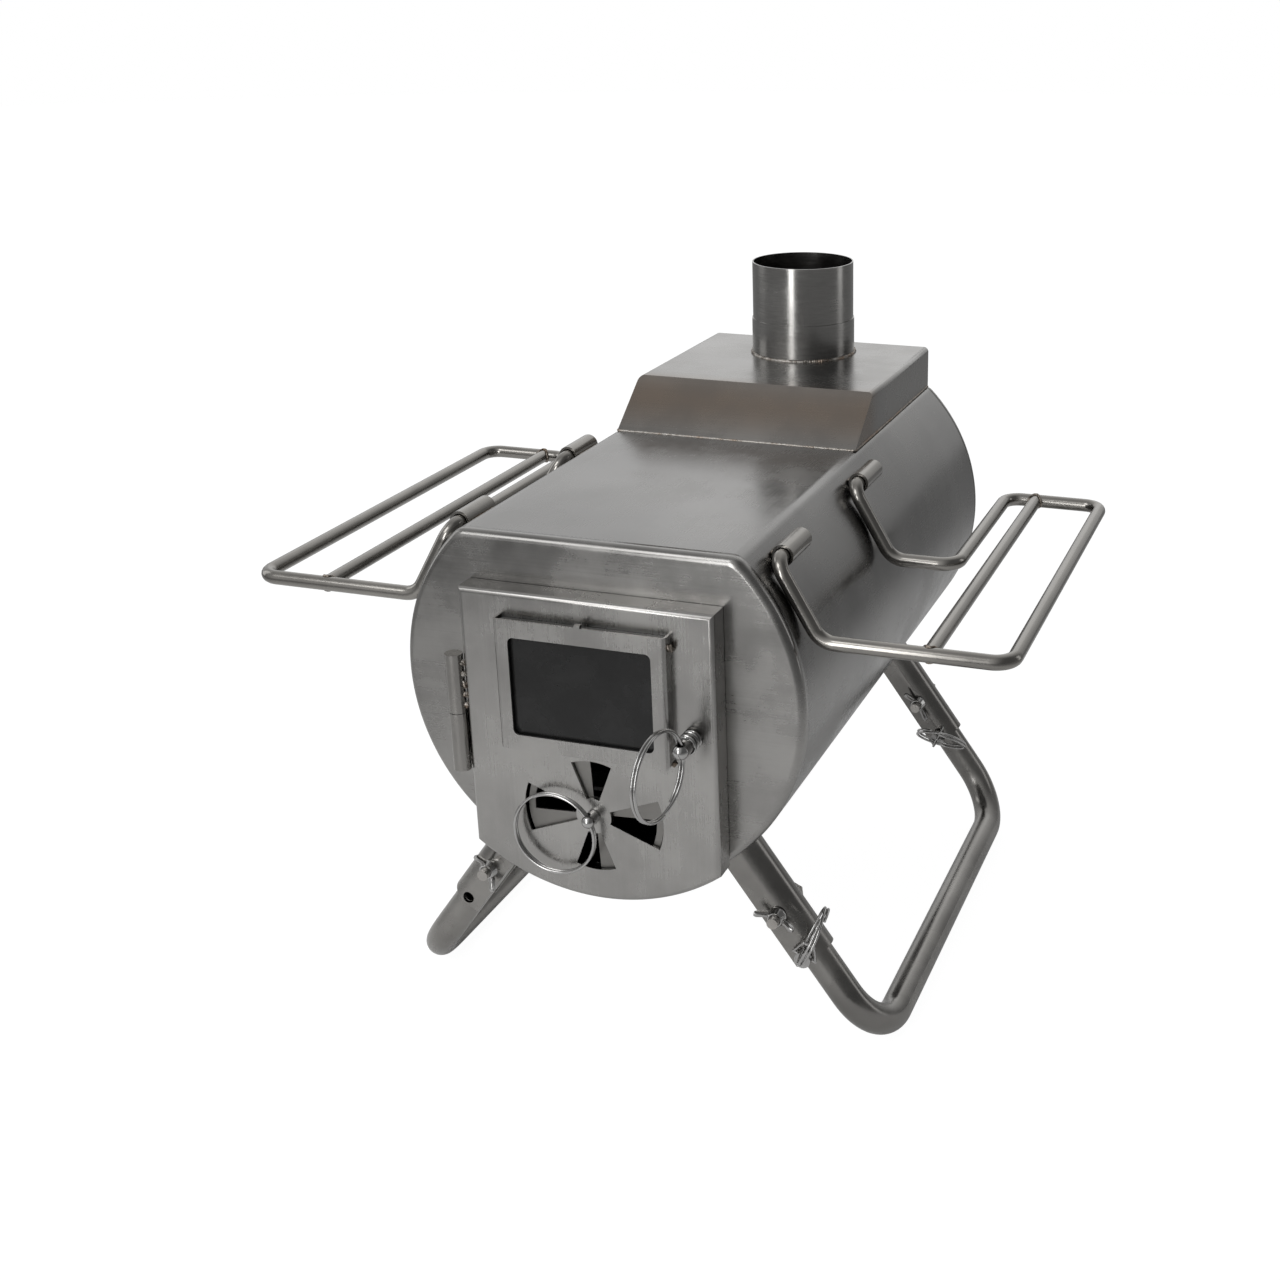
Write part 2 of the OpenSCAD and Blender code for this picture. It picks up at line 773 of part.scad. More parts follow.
// one rod: out of the front sleeve, round the shelf and back into the rear sleeve
module shelf_frame(s) side(s) {
    shelf_arm(front_sleeve_y);
    shelf_arm(rear_sleeve_y);
    along_x(knee_end_x + seam, shelf_out - corner_r, front_arm_y);
    translate([shelf_out - corner_r, front_arm_y + corner_r, shelf_h]) corner(270);
    disc_at([shelf_out, front_arm_y + corner_r, shelf_h], rod_d, shelf_l - 2 * corner_r);
    translate([shelf_out - corner_r, shelf_back_y - corner_r, shelf_h]) corner(0);
    along_x(shelf_in + corner_r, shelf_out - corner_r, shelf_back_y);
    translate([shelf_in + corner_r, shelf_back_y - corner_r, shelf_h]) corner(90);
    disc_at([shelf_in, rear_arm_y + corner_r, shelf_h], rod_d, shelf_back_y - rear_arm_y - 2 * corner_r);
    translate([shelf_in - corner_r, rear_arm_y + corner_r, shelf_h]) corner(270);
    along_x(knee_end_x + seam, shelf_in - corner_r, rear_arm_y);
}

module along_x(x0, x1, y) translate([x0, y, shelf_h]) rotate([0, 90, 0]) cylinder(d = rod_d, h = x1 - x0);

// a quarter bend of the rod about +Z that starts a degrees from +X
module corner(a, r = corner_r) rotate([0, 0, a]) rotate_extrude(angle = 90) translate([r, 0]) circle(d = rod_d);

module shelf_frame_left() color(bright) placed() shelf_frame(-1);
module shelf_frame_right() color(bright) placed() shelf_frame(1);

module shelf_middle_bar(s) side(s)
    disc_at([shelf_mid, front_arm_y + rod_d / 2 + weld_gap, shelf_h], rod_d, shelf_l - rod_d - 2 * weld_gap);

module shelf_middle_bar_left() color(bright) placed() shelf_middle_bar(-1);
module shelf_middle_bar_right() color(bright) placed() shelf_middle_bar(1);

// draws in a leg's own directions: pivot at the origin, leg along -Z, outward along +X
module leg_space(s, y) side(s) translate([pivot_x, y, pivot_z]) rotate([0, -leg_splay, 0]) children();

// a half-round channel open on its inner side, welded to the drum
module bracket(s, y) {
    l = bracket_below + bracket_above;
    difference() {
        leg_space(s, y)
            translate([0, 0, -bracket_below])
                difference() {
                    union() {
                        cylinder(r = web_out_r, h = l);
                        translate([-bracket_in, -web_out_r, 0]) cube([bracket_in, 2 * web_out_r, l]);
                    }
                    translate([0, 0, -over]) cylinder(r = web_in_r, h = l + 2 * over);
                    translate([-bracket_in - over, -web_in_r, -over])
                        cube([bracket_in + over, 2 * web_in_r, l + 2 * over]);
                    translate([-web_out_r - over, -web_out_r - over, -over])
                        cube([web_out_r + over - bracket_in, 2 * (web_out_r + over), l + 2 * over]);
                }
        plate(y - 2 * web_out_r, 4 * web_out_r) circle(r = drum_r + weld_gap, $fn = 128);
        leg_space(s, y) {
            disc_at([0, -2 * web_out_r, 0], bolt_d + 2 * pin_gap, 4 * web_out_r);
            disc_at([0, -2 * web_out_r, -lock_reach], lock_d + 2 * hole_play, 4 * web_out_r);
        }
    }
}

module leg_bracket_front_left() color(steel) placed() bracket(-1, front_leg_y);
module leg_bracket_front_right() color(steel) placed() bracket(1, front_leg_y);
module leg_bracket_rear_left() color(steel) placed() bracket(-1, rear_leg_y);
module leg_bracket_rear_right() color(steel) placed() bracket(1, rear_leg_y);

// one tube bent into a U, with its round-nosed ends held on the pivots
module leg(s) {
    straight = leg_reach - leg_bend_r;
    across = rear_leg_y - front_leg_y;
    leg_space(s, front_leg_y) {
        for (y = [0, across])
            translate([0, y, 0])
                difference() {
                    union() {
                        translate([0, 0, -straight]) linear_extrude(straight) tube_section();
                        rotate_extrude() intersection() {
                            tube_section();
                            square(tube_d);
                        }
                    }
                    disc_at([0, -tube_d, 0], bolt_d + 2 * hole_play, 2 * tube_d);
                    disc_at([0, -tube_d, -lock_reach], lock_d + 2 * hole_play, 2 * tube_d);
                }
        translate([0, 0, -straight]) elbow_back(leg_bend_r) tube_section();
        translate([0, across, -straight]) rotate([0, 0, 180]) elbow_back(leg_bend_r) tube_section();
        translate([0, leg_bend_r, -leg_reach]) rotate([-90, 0, 0])
            linear_extrude(across - 2 * leg_bend_r) tube_section();
    }
}

module tube_section() difference() {
    circle(d = tube_d);
    circle(d = tube_d - 2 * tube_t);
}

module leg_left() color(steel) placed() leg(-1);
module leg_right() color(steel) placed() leg(1);

module pivot_bolt(s, y) leg_space(s, y) {
    disc_at([0, -web_out_r - bolt_out, 0], bolt_d, bolt_out + 2 * web_out_r + weld_gap);
    translate([0, web_out_r + weld_gap, 0]) rotate([-90, 0, 0])
        cylinder(d = bolt_head_af / cos(30), h = bolt_head_t, $fn = 6);
}

module pivot_bolt_front_left() color(bright) placed() pivot_bolt(-1, front_leg_y);
module pivot_bolt_front_right() color(bright) placed() pivot_bolt(1, front_leg_y);
module pivot_bolt_rear_left() color(bright) placed() pivot_bolt(-1, rear_leg_y);
module pivot_bolt_rear_right() color(bright) placed() pivot_bolt(1, rear_leg_y);

// a wing nut on the front cheek, turned so that its wings lie as given
module wing_nut(s, y, turn)
    translate([s * pivot_x, y - web_out_r - weld_gap, pivot_z])
        rotate([90, 0, 0])
            rotate(turn)
                difference() {
                    union() {
                        cylinder(d = nut_base_d, h = nut_t / 2);
                        cylinder(d = nut_top_d, h = nut_t);
                        for (i = [-1, 1]) {
                            translate([i * wing_span / 4, 0, (wing_h - wing_tip_r) / 2 + wing_t / 4])
                                cube([wing_span / 2 - wing_tip_r, wing_t, wing_h - wing_tip_r - wing_t / 2], center = true);
                            translate([i * (wing_span / 2 - wing_tip_r), 0, wing_h - wing_tip_r])
                                rotate([90, 0, 0]) cylinder(r = wing_tip_r, h = wing_t, center = true);
                        }
                    }
                    translate([0, 0, -over]) cylinder(d = bolt_d + 2 * pin_gap, h = wing_h + 2 * over);
                }

module wing_nut_front_left() color(bright) placed() wing_nut(-1, front_leg_y, wing_turns[0]);
module wing_nut_front_right() color(bright) placed() wing_nut(1, front_leg_y, wing_turns[1]);
module wing_nut_rear_left() color(bright) placed() wing_nut(-1, rear_leg_y, wing_turns[2]);
module wing_nut_rear_right() color(bright) placed() wing_nut(1, rear_leg_y, wing_turns[3]);

// where a lock pin's neck is, half way between its head and the bracket
function lock_neck_at(y) = [pivot_x + lock_reach * leg_dir[0], y - web_out_r - lock_neck / 2,
                            pivot_z + lock_reach * leg_dir[2]];

// stands children at p with their X, Y and Z along the given directions
module along(p, x, y) {
    z = cross(x, y);
    multmatrix([
        [x[0], y[0], z[0], p[0]],
        [x[1], y[1], z[1], p[1]],
        [x[2], y[2], z[2], p[2]],
        [0, 0, 0, 1]
    ]) children();
}

// a pin with a flat head and a three-cornered wire link through its neck
module lock_pin(y, aim, through) {
    neck = lock_neck_at(y);
    disc_at(neck - [0, lock_neck / 2, 0], lock_d, 2 * web_out_r + lock_neck + lock_tail);
    disc_at(neck - [0, lock_neck / 2 + lock_head_t, 0], lock_head_d, lock_head_t);
    along(neck, aim, through) {
        for (i = [-1, 1]) {
            bar([0, 0, i * link_w / 2], [link_reach, 0, i * link_nose_r], link_wire);
            translate([0, 0, i * link_w / 2]) sphere(d = link_bend_d);
            translate([link_reach, 0, i * link_nose_r]) sphere(d = link_bend_d);
        }
        for (x = [0, link_reach])
            let (w = x > 0 ? 2 * link_nose_r : link_w)
                translate([x, 0, -w / 2]) cylinder(d = link_wire, h = w);
    }
}

// the split ring in a lock pin's link, reaching from the link along aim
module lock_ring(y, link_aim, aim, through)
    along(lock_neck_at(y) + link_aim * (link_reach - link_wire / 2 - link_ring_gap - lock_ring_wire / 2),
          aim, through)
        translate([lock_ring_mid_r, 0, 0]) split_ring(lock_ring_mid_r, lock_ring_wire);

// how the links and rings lie: each link's reach, each ring's reach, and its way through the link
link_aims = [unit([0.336, -0.354, 0.873]), [0, -1, 0]];
ring_ways = [unit([0.046, 0.857, 0.513]), unit([0.901, 0.245, -0.358])];
ring_aims = [for (i = [0, 1]) let (a = [[0.355, -0.494, 0.794], [0.405, -0.773, 0.489]][i])
    unit(a - (a * ring_ways[i]) * ring_ways[i])];
link_ways = [for (i = [0, 1]) let (a = [[0, 1, 0], ring_ways[1]][i]) unit(a - (a * link_aims[i]) * link_aims[i])];

module lock_pin_front() color(bright) placed() lock_pin(front_leg_y, link_aims[0], link_ways[0]);
module lock_pin_rear() color(bright) placed() lock_pin(rear_leg_y, link_aims[1], link_ways[1]);
module lock_ring_front() color(bright) placed()
    lock_ring(front_leg_y, link_aims[0], ring_aims[0], ring_ways[0]);
module lock_ring_rear() color(bright) placed()
    lock_ring(rear_leg_y, link_aims[1], ring_aims[1], ring_ways[1]);

// a slotted plate on two side flanges that stand on the drum's floor
module fire_grate() color(iron) placed() {
    back = drum_l - grate_back_gap;
    l = back - grate_front;
    floor_r = drum_r - drum_t - weld_gap;
    cols = floor((grate_w - 2 * grate_t - slot_w) / slot_pitch_x / 2);
    rows = floor((l - slot_l) / slot_pitch_y);
    difference() {
        union() {
            translate([-grate_w / 2, grate_front, -grate_drop]) cube([grate_w, l, grate_t]);
            for (s = [-1, 1])
                translate([s * (grate_w - grate_t) / 2 - grate_t / 2, grate_front, -floor_r])
                    cube([grate_t, l, floor_r - grate_drop]);
        }
        plate(grate_front - over, l + 2 * over)
            difference() {
                translate([-drum_r, -drum_r]) square([2 * drum_r, drum_r]);
                circle(r = floor_r, $fn = 128);
            }
        for (i = [-cols : cols], j = [0 : rows])
            translate([i * slot_pitch_x - slot_w / 2,
                       (grate_front + back) / 2 + (j - rows / 2) * slot_pitch_y - slot_l / 2, -grate_drop - over])
                cube([slot_w, slot_l, grate_t + 2 * over]);
    }
}

// a plate hung under the flue box's opening on two side flanges
module baffle_plate() color(steel) placed() {
    low = top_h - drum_t - baffle_drop;
    y = box_foot + baffle_front;
    l = drum_l - cap_depth - baffle_end_gap - y;
    translate([-baffle_w / 2, y, low]) cube([baffle_w, l, baffle_t]);
    for (s = [-1, 1])
        translate([s * (baffle_w - baffle_t) / 2 - baffle_t / 2, y, low])
            cube([baffle_t, l, baffle_drop - weld_gap]);
}

drum_shell();
front_plate();
rear_plate();
flue_box();
flue_collar();
door_shell();
door_gasket();
window_frame();
window_glass();
glass_gasket();
hinge_knuckle_upper();
hinge_knuckle_lower();
hinge_pin();
damper_disc();
damper_post();
damper_ring();
latch_spindle();
latch_tongue();
latch_spring();
latch_ring();
shelf_sleeves_left();
shelf_sleeves_right();
shelf_frame_left();
shelf_frame_right();
shelf_middle_bar_left();
shelf_middle_bar_right();
leg_bracket_front_left();
leg_bracket_front_right();
leg_bracket_rear_left();
leg_bracket_rear_right();
leg_left();
leg_right();
pivot_bolt_front_left();
pivot_bolt_front_right();
pivot_bolt_rear_left();
pivot_bolt_rear_right();
wing_nut_front_left();
wing_nut_front_right();
wing_nut_rear_left();
wing_nut_rear_right();
lock_pin_front();
lock_pin_rear();
lock_ring_front();
lock_ring_rear();
fire_grate();
baffle_plate();
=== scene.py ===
"""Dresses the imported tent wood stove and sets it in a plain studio."""

from __future__ import annotations

import logging
import math
import random
from dataclasses import dataclass, field
from enum import Enum
from typing import Any, Sequence

import bmesh
import bpy
from mathutils import Matrix, Vector


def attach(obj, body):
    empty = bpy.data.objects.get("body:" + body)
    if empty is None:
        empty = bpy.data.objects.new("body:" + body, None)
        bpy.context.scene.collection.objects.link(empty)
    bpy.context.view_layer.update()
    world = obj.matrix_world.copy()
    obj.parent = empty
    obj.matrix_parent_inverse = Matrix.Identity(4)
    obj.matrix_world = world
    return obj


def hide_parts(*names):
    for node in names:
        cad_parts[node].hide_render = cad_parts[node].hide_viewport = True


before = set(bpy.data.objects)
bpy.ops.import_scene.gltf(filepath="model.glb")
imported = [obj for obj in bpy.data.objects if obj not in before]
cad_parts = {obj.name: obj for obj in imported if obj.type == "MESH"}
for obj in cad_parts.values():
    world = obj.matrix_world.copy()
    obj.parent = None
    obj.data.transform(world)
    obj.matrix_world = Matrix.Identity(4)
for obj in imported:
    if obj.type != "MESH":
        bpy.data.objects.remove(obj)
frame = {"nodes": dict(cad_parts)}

logging.basicConfig(level=logging.INFO, format="%(name)s: %(message)s")
log = logging.getLogger("stove")

MM = 0.001
NOISE_SPAN = (0.3, 0.7)
SHIFT_WAYS = (1.0, 0.7, 1.3)
SAME_POINT = 1e-7
SAME_HEIGHT = 1e-6
SAME_SPOT = 0.01
ALONG_GRAIN_PER_M = 5.0
ROUND_GRAIN_PER_RAD = 3.0
RIDGES_PER_WAVE_SCALE = 3.18


@dataclass(frozen=True)
class Sizes:
    """The stove's sizes in millimetres about the drum's axis, with the front plate at y = 0."""

    drum_r: float = 106.5
    drum_l: float = 354.5
    top_h: float = 77.6
    axis_h: float = 206.685
    mid_y: float = 141.139
    cap_depth: float = 7.0
    door_w: float = 133.0
    door_depth: float = 13.9
    vent_drop: float = 61.0
    latch_inset: float = 11.8
    latch_drop: float = 10.6
    box_w: float = 146.0
    box_rise: float = 25.4
    box_foot: float = 190.8
    box_back: float = 350.0
    collar_y: float = 316.3
    collar_r: float = 32.1
    sleeve_angle: float = 39.5
    sleeve_reach: float = 112.1
    sleeve_l: float = 28.0
    sleeve_end: float = 1.5
    front_sleeve_y: float = 28.0
    rear_sleeve_y: float = 152.3
    rod_r: float = 3.8
    rod_in: float = 23.0
    front_arm_y: float = 18.6
    rear_arm_y: float = 142.9
    shelf_h: float = 33.0
    shelf_in: float = 144.19
    shelf_mid: float = 162.02
    shelf_out: float = 201.5
    shelf_back_y: float = 269.1
    arm_lean: float = 30.0
    pivot_reach: float = 149.7
    pivot_angle: float = 56.5
    leg_splay: float = 35.5
    front_leg_y: float = 34.9
    rear_leg_y: float = 313.4
    web_out_r: float = 10.9
    bracket_in: float = 8.5
    ring_mid_r: float = 21.65
    ring_wire: float = 1.7
    lock_ring_mid_r: float = 15.8
    lock_ring_wire: float = 1.8
    damper_eye: float = 5.4
    damper_ring_turn: float = -27.0
    latch_eye: float = 28.7
    latch_ring_turn: float = -8.0
    latch_ring_lean: float = 10.0


S = Sizes()
SIDES = ((-1, "left"), (1, "right"))
LEGS = (("front", S.front_leg_y), ("rear", S.rear_leg_y))


def at(x: float, y: float, z: float) -> Vector:
    """Turns millimetres about the drum's axis into metres in the row frame.

    Args:
        x: To the right seen from the door.
        y: Back from the front plate.
        z: Up from the drum's axis.

    Returns:
        The point in the row frame.
    """
    return Vector((x, y - S.mid_y, z + S.axis_h)) * MM


def polar(radius: float, degrees: float) -> tuple[float, float]:
    """Gives the X and Z of a point at a radius and an angle above level, in degrees."""
    a = math.radians(degrees)
    return radius * math.cos(a), radius * math.sin(a)


Mesh, Vert, Material = bmesh.types.BMesh, bmesh.types.BMVert, bpy.types.Material
Linked = bpy.types.NodeSocket | float | Sequence[float] | None
Colour = tuple[float, float, float]
WHITE = (1.0, 1.0, 1.0, 1.0)


class Value:
    """A shader socket that holds a number and takes Python's operators."""

    def __init__(self, tree: bpy.types.NodeTree, socket: bpy.types.NodeSocket) -> None:
        self.tree = tree
        self.socket = socket

    def math(
        self, operation: str, *others: Value | float, clamp: bool = False, swap: bool = False
    ) -> Value:
        """Adds one Math node; swap puts this value after the other operand."""
        node = self.tree.nodes.new("ShaderNodeMath")
        node.operation = operation
        node.use_clamp = clamp
        operands = [*others, self] if swap else [self, *others]
        for slot, operand in zip(node.inputs, operands):
            if isinstance(operand, Value):
                self.tree.links.new(operand.socket, slot)
            else:
                slot.default_value = operand
        return Value(self.tree, node.outputs[0])

    def __add__(self, other: Value | float) -> Value:
        """Adds."""
        return self.math("ADD", other)

    __radd__ = __add__

    def __sub__(self, other: Value | float) -> Value:
        """Subtracts."""
        return self.math("SUBTRACT", other)

    def __rsub__(self, other: float) -> Value:
        """Is subtracted from a number."""
        return self.math("SUBTRACT", other, swap=True)

    def __mul__(self, other: Value | float) -> Value:
        """Multiplies."""
        return self.math("MULTIPLY", other)

    def __pow__(self, other: float) -> Value:
        """Raises to a power."""
        return self.math("POWER", other)

    def clamped(self) -> Value:
        """Holds the value between 0 and 1."""
        return self.math("ADD", 0.0, clamp=True)

    def mapped(self, low: float, high: float, to_low: float = 0.0, to_high: float = 1.0) -> Value:
        """Maps low..high smoothly to to_low..to_high, with its ends held."""
        node = self.tree.nodes.new("ShaderNodeMapRange")
        node.interpolation_type = "SMOOTHSTEP"
        ends = {"From Min": low, "From Max": high, "To Min": to_low, "To Max": to_high}
        for name, number in ends.items():
            node.inputs[name].default_value = number
        self.tree.links.new(self.socket, node.inputs["Value"])
        return Value(self.tree, node.outputs["Result"])

    def spread(self, to_low: float = 0.0, to_high: float = 1.0) -> Value:
        """Maps the span that a noise pattern mostly keeps to."""
        return self.mapped(*NOISE_SPAN, to_low, to_high)


def eased(share: float, start: float, span: float) -> float:
    """Gives how far a share has come through a span, from 0 to 1."""
    return min(1.0, max(0.0, (share - start) / span))


def turned(degrees: float, axis: str) -> Matrix:
    """Gives the turn about an axis."""
    return Matrix.Rotation(math.radians(degrees), 4, axis)


class Grain(Enum):
    """Which way a steel sheet's brushing runs."""

    NONE = "none"
    ALONG_X = "x"
    ALONG_Y = "y"
    ALONG_Z = "z"
    AROUND_Y = "around y"
    AROUND_Z = "around z"


class Surface:
    """A Principled material under construction, with object coordinates at hand."""

    def __init__(self, name: str, metallic: float = 0.0) -> None:
        self.material = bpy.data.materials.new(name)
        self.material.use_nodes = True
        self.tree = self.material.node_tree
        self.shader = self.tree.nodes["Principled BSDF"]
        self.shader.inputs["Metallic"].default_value = metallic
        self.coords = self.node("ShaderNodeTexCoord").outputs["Object"]
        split = self.node("ShaderNodeSeparateXYZ", inputs={0: self.coords})
        self.x, self.y, self.z = (Value(self.tree, split.outputs[i]) for i in range(3))

    def node(
        self, kind: str, settings: dict[str, Any] | None = None, inputs: dict[Any, Linked] | None = None
    ) -> bpy.types.Node:
        """Adds a node.

        Args:
            kind: Its type.
            settings: Its properties, set first.
            inputs: The values or links of its sockets.

        Returns:
            The node.
        """
        node = self.tree.nodes.new(kind)
        for name, setting in (settings or {}).items():
            setattr(node, name, setting)
        for name, given in (inputs or {}).items():
            if isinstance(given, Value):
                given = given.socket
            if isinstance(given, bpy.types.NodeSocket):
                self.tree.links.new(given, node.inputs[name])
            else:
                node.inputs[name].default_value = given
        return node

    def noise(
        self, per_m: float | Sequence[float], detail: float = 3.0, roughness: float = 0.55,
        shift: float = 0.0,
    ) -> Value:
        """Adds a noise pattern about 0.5, with per_m features a metre or one number for each axis."""
        scale = (per_m,) * 3 if isinstance(per_m, float) else per_m
        offset = [shift * way for way in SHIFT_WAYS]
        inputs = {"Vector": self.coords, "Scale": scale, "Location": offset}
        place = self.node("ShaderNodeMapping", inputs=inputs)
        return self._noise_at(place, detail, roughness)

    def _noise_at(self, place: bpy.types.Node, detail: float, roughness: float) -> Value:
        """Adds a noise node that reads the places which another node gives."""
        inputs = {"Vector": place.outputs[0], "Scale": 1.0, "Detail": detail, "Roughness": roughness}
        return Value(self.tree, self.node("ShaderNodeTexNoise", inputs=inputs).outputs["Fac"])

    def brushing(self, grain: Grain, per_m: float, centre: tuple[float, float]) -> Value:
        """Adds the fine lines of brushed steel.

        Args:
            grain: Which way they run.
            per_m: Lines per metre.
            centre: Where the axis lies in metres, for lines that run round it.

        Returns:
            The lines, about 0.5.
        """
        if grain is Grain.NONE:
            return self.noise(per_m, detail=1.0)
        if grain not in (Grain.AROUND_Y, Grain.AROUND_Z):
            scale = [per_m] * 3
            scale["xyz".index(grain.value)] = ALONG_GRAIN_PER_M
            return self.noise(scale)
        first = self.x - centre[0]
        second, along = (self.z, self.y) if grain is Grain.AROUND_Y else (self.y, self.z)
        second = second - centre[1]
        radius = (first * first + second * second) ** 0.5
        turn = first.math("ARCTAN2", second)
        inputs = {0: radius * per_m, 1: along * per_m, 2: turn * ROUND_GRAIN_PER_RAD}
        joined = self.node("ShaderNodeCombineXYZ", inputs=inputs)
        return self._noise_at(joined, detail=3.0, roughness=0.5)

    def ridges(self, direction: str, per_m: float) -> Value:
        """Adds fine ridges, 0 to 1, along X, Y, Z or DIAGONAL."""
        inputs = {"Vector": self.coords, "Scale": per_m / RIDGES_PER_WAVE_SCALE}
        node = self.node("ShaderNodeTexWave", {"bands_direction": direction}, inputs)
        return Value(self.tree, node.outputs["Fac"])

    def blend(self, share: Value, low: Linked, high: Linked) -> bpy.types.NodeSocket:
        """Mixes two colours, or their sockets, by the second one's share."""
        low, high = (c if isinstance(c, bpy.types.NodeSocket) else (*c, 1.0) for c in (low, high))
        mix = self.node("ShaderNodeMix", {"data_type": "RGBA"}, {0: share, 6: low, 7: high})
        return mix.outputs[2]

    def colour(self, socket: bpy.types.NodeSocket) -> None:
        """Sends a socket to the base colour."""
        self.tree.links.new(socket, self.shader.inputs["Base Color"])

    def roughness(self, value: Value) -> None:
        """Sends a value to the roughness."""
        self.tree.links.new(value.socket, self.shader.inputs["Roughness"])

    def bump(self, height: Value, depth: float) -> None:
        """Adds a bump from a height pattern, 0 to 1, with its depth in metres."""
        inputs = {"Height": height, "Distance": depth, "Strength": 1.0}
        node = self.node("ShaderNodeBump", inputs=inputs)
        self.tree.links.new(node.outputs[0], self.shader.inputs["Normal"])


@dataclass(frozen=True)
class HeatBand:
    """A stretch of a steel sheet that heat has tinted."""

    start: float
    stop: float
    share: float = 0.75
    colour: Colour = (0.22, 0.172, 0.135)

    def over(self, s: Surface, cloud: Value, plain: bpy.types.NodeSocket) -> bpy.types.NodeSocket:
        """Lays the tint, broken up by a cloud of noise, over a plain colour."""
        start, stop = ((y - S.mid_y) * MM for y in (self.start, self.stop))
        middle = (start + stop) / 2
        band = s.y.mapped(start, middle) * s.y.mapped(middle, stop, 1.0, 0.0) * self.share
        return s.blend((band * (cloud + 0.5)).clamped(), plain, self.colour)


@dataclass(frozen=True)
class Steel:
    """A brushed or polished stainless finish."""

    name: str
    tone: float = 0.3
    warmth: float = 0.02
    rough: float = 0.26
    rough_spread: float = 0.08
    grain: Grain = Grain.ALONG_Y
    grain_per_m: float = 1300.0
    grain_depth: float = 0.0
    streak: float = 0.1
    smudge: float = 0.14
    centre: tuple[float, float] = (0.0, 0.0)
    heat: HeatBand | None = None
    cloud_per_m: float = 26.0
    patch_per_m: float = 9.0
    smudge_span: tuple[float, float] = (0.34, 0.66)
    rough_from_lines: float = 0.2
    blue_loss: float = 1.6

    def build(self) -> Material:
        """Makes the material."""
        s = Surface(self.name, metallic=1.0)
        lines = s.brushing(self.grain, self.grain_per_m, self.centre)
        cloud = s.noise(self.cloud_per_m, detail=5.0, roughness=0.6, shift=3.0)
        patch = s.noise(self.patch_per_m, detail=2.0, shift=11.0)
        low, high = self.tone * (1 - self.smudge), self.tone * (1 + self.smudge)
        rest = (1 - self.streak) / 2
        share = (lines * self.streak + cloud * rest + patch * rest).mapped(*self.smudge_span)
        tint = (1 + self.warmth, 1.0, 1 - self.blue_loss * self.warmth)
        colour = s.blend(share, [low * t for t in tint], [high * t for t in tint])
        s.colour(self.heat.over(s, cloud, colour) if self.heat else colour)
        mottle = lines * self.rough_from_lines + cloud * (1 - self.rough_from_lines)
        s.roughness(mottle.spread(self.rough - self.rough_spread, self.rough + self.rough_spread))
        if self.grain_depth:
            s.bump(lines, self.grain_depth)
        return s.material


@dataclass(frozen=True)
class Gritty:
    """A rough metal finish with stained patches; its defaults are a dark weld's."""

    name: str
    low: Colour = (0.1, 0.085, 0.07)
    high: Colour = (0.36, 0.32, 0.28)
    stain: Colour = (0.2, 0.11, 0.05)
    stain_share: float = 0.6
    stain_per_m: float = 90.0
    stain_detail: float = 2.0
    stain_shift: float = 5.0
    stain_from: float = 0.5
    stain_full: float = 0.75
    grit_per_m: float = 420.0
    grit_span: tuple[float, float] = (0.35, 0.65)
    rough: tuple[float, float] = (0.25, 0.55)
    depth: float = 0.00025
    metallic: float = 1.0

    def build(self) -> Material:
        """Makes the material."""
        s = Surface(self.name, self.metallic)
        grit = s.noise(self.grit_per_m, detail=4.0)
        patches = s.noise(self.stain_per_m, detail=self.stain_detail, shift=self.stain_shift)
        colour = s.blend(grit.mapped(*self.grit_span), self.low, self.high)
        stained = patches.mapped(self.stain_from, self.stain_full) * self.stain_share
        s.colour(s.blend(stained, colour, self.stain))
        s.roughness(grit.spread(*self.rough))
        s.bump(grit, self.depth)
        return s.material


@dataclass(frozen=True)
class Ridged:
    """A finish of fine ridges under a finer noise, such as a thread or a woven rope, with painted shade
    in its grooves.
    """

    name: str
    direction: str
    ridges_per_m: float
    noise_per_m: float
    noise_share: float
    low: Colour
    high: Colour
    rough: tuple[float, float]
    depth: float
    raised_noise: float = 0.0
    metallic: float = 0.0

    def build(self) -> Material:
        """Makes the material."""
        s = Surface(self.name, self.metallic)
        ridges = s.ridges(self.direction, self.ridges_per_m)
        noise = s.noise(self.noise_per_m)
        # Painted shade: the colour follows the ridges, darker in the grooves and lighter on the crests.
        share = (ridges * (1 - self.noise_share) + noise * self.noise_share).clamped()
        s.colour(s.blend(share, self.low, self.high))
        s.roughness(noise.spread(*self.rough))
        raised = (ridges + noise * self.raised_noise).clamped() if self.raised_noise else ridges
        s.bump(raised, self.depth)
        return s.material


@dataclass(frozen=True)
class Glass:
    """Heatproof glass in front of an unlit firebox, coloured near-black and nearly opaque as painted
    shade of the firebox behind it.
    """

    name: str
    low: Colour = (0.01, 0.01, 0.01)
    high: Colour = (0.017, 0.017, 0.017)
    haze_per_m: float = 60.0
    transmission: float = 0.08
    ior: float = 1.38
    rough: tuple[float, float] = (0.04, 0.1)

    def build(self) -> Material:
        """Makes the material."""
        s = Surface(self.name)
        haze = s.noise(self.haze_per_m, detail=4.0)
        # Painted shade: a near-black colour and little transmission stand in for the shaded firebox
        # seen through the glass.
        s.shader.inputs["Transmission Weight"].default_value = self.transmission
        s.shader.inputs["IOR"].default_value = self.ior
        s.colour(s.blend(haze.spread(), self.low, self.high))
        s.roughness(haze.spread(*self.rough))
        return s.material


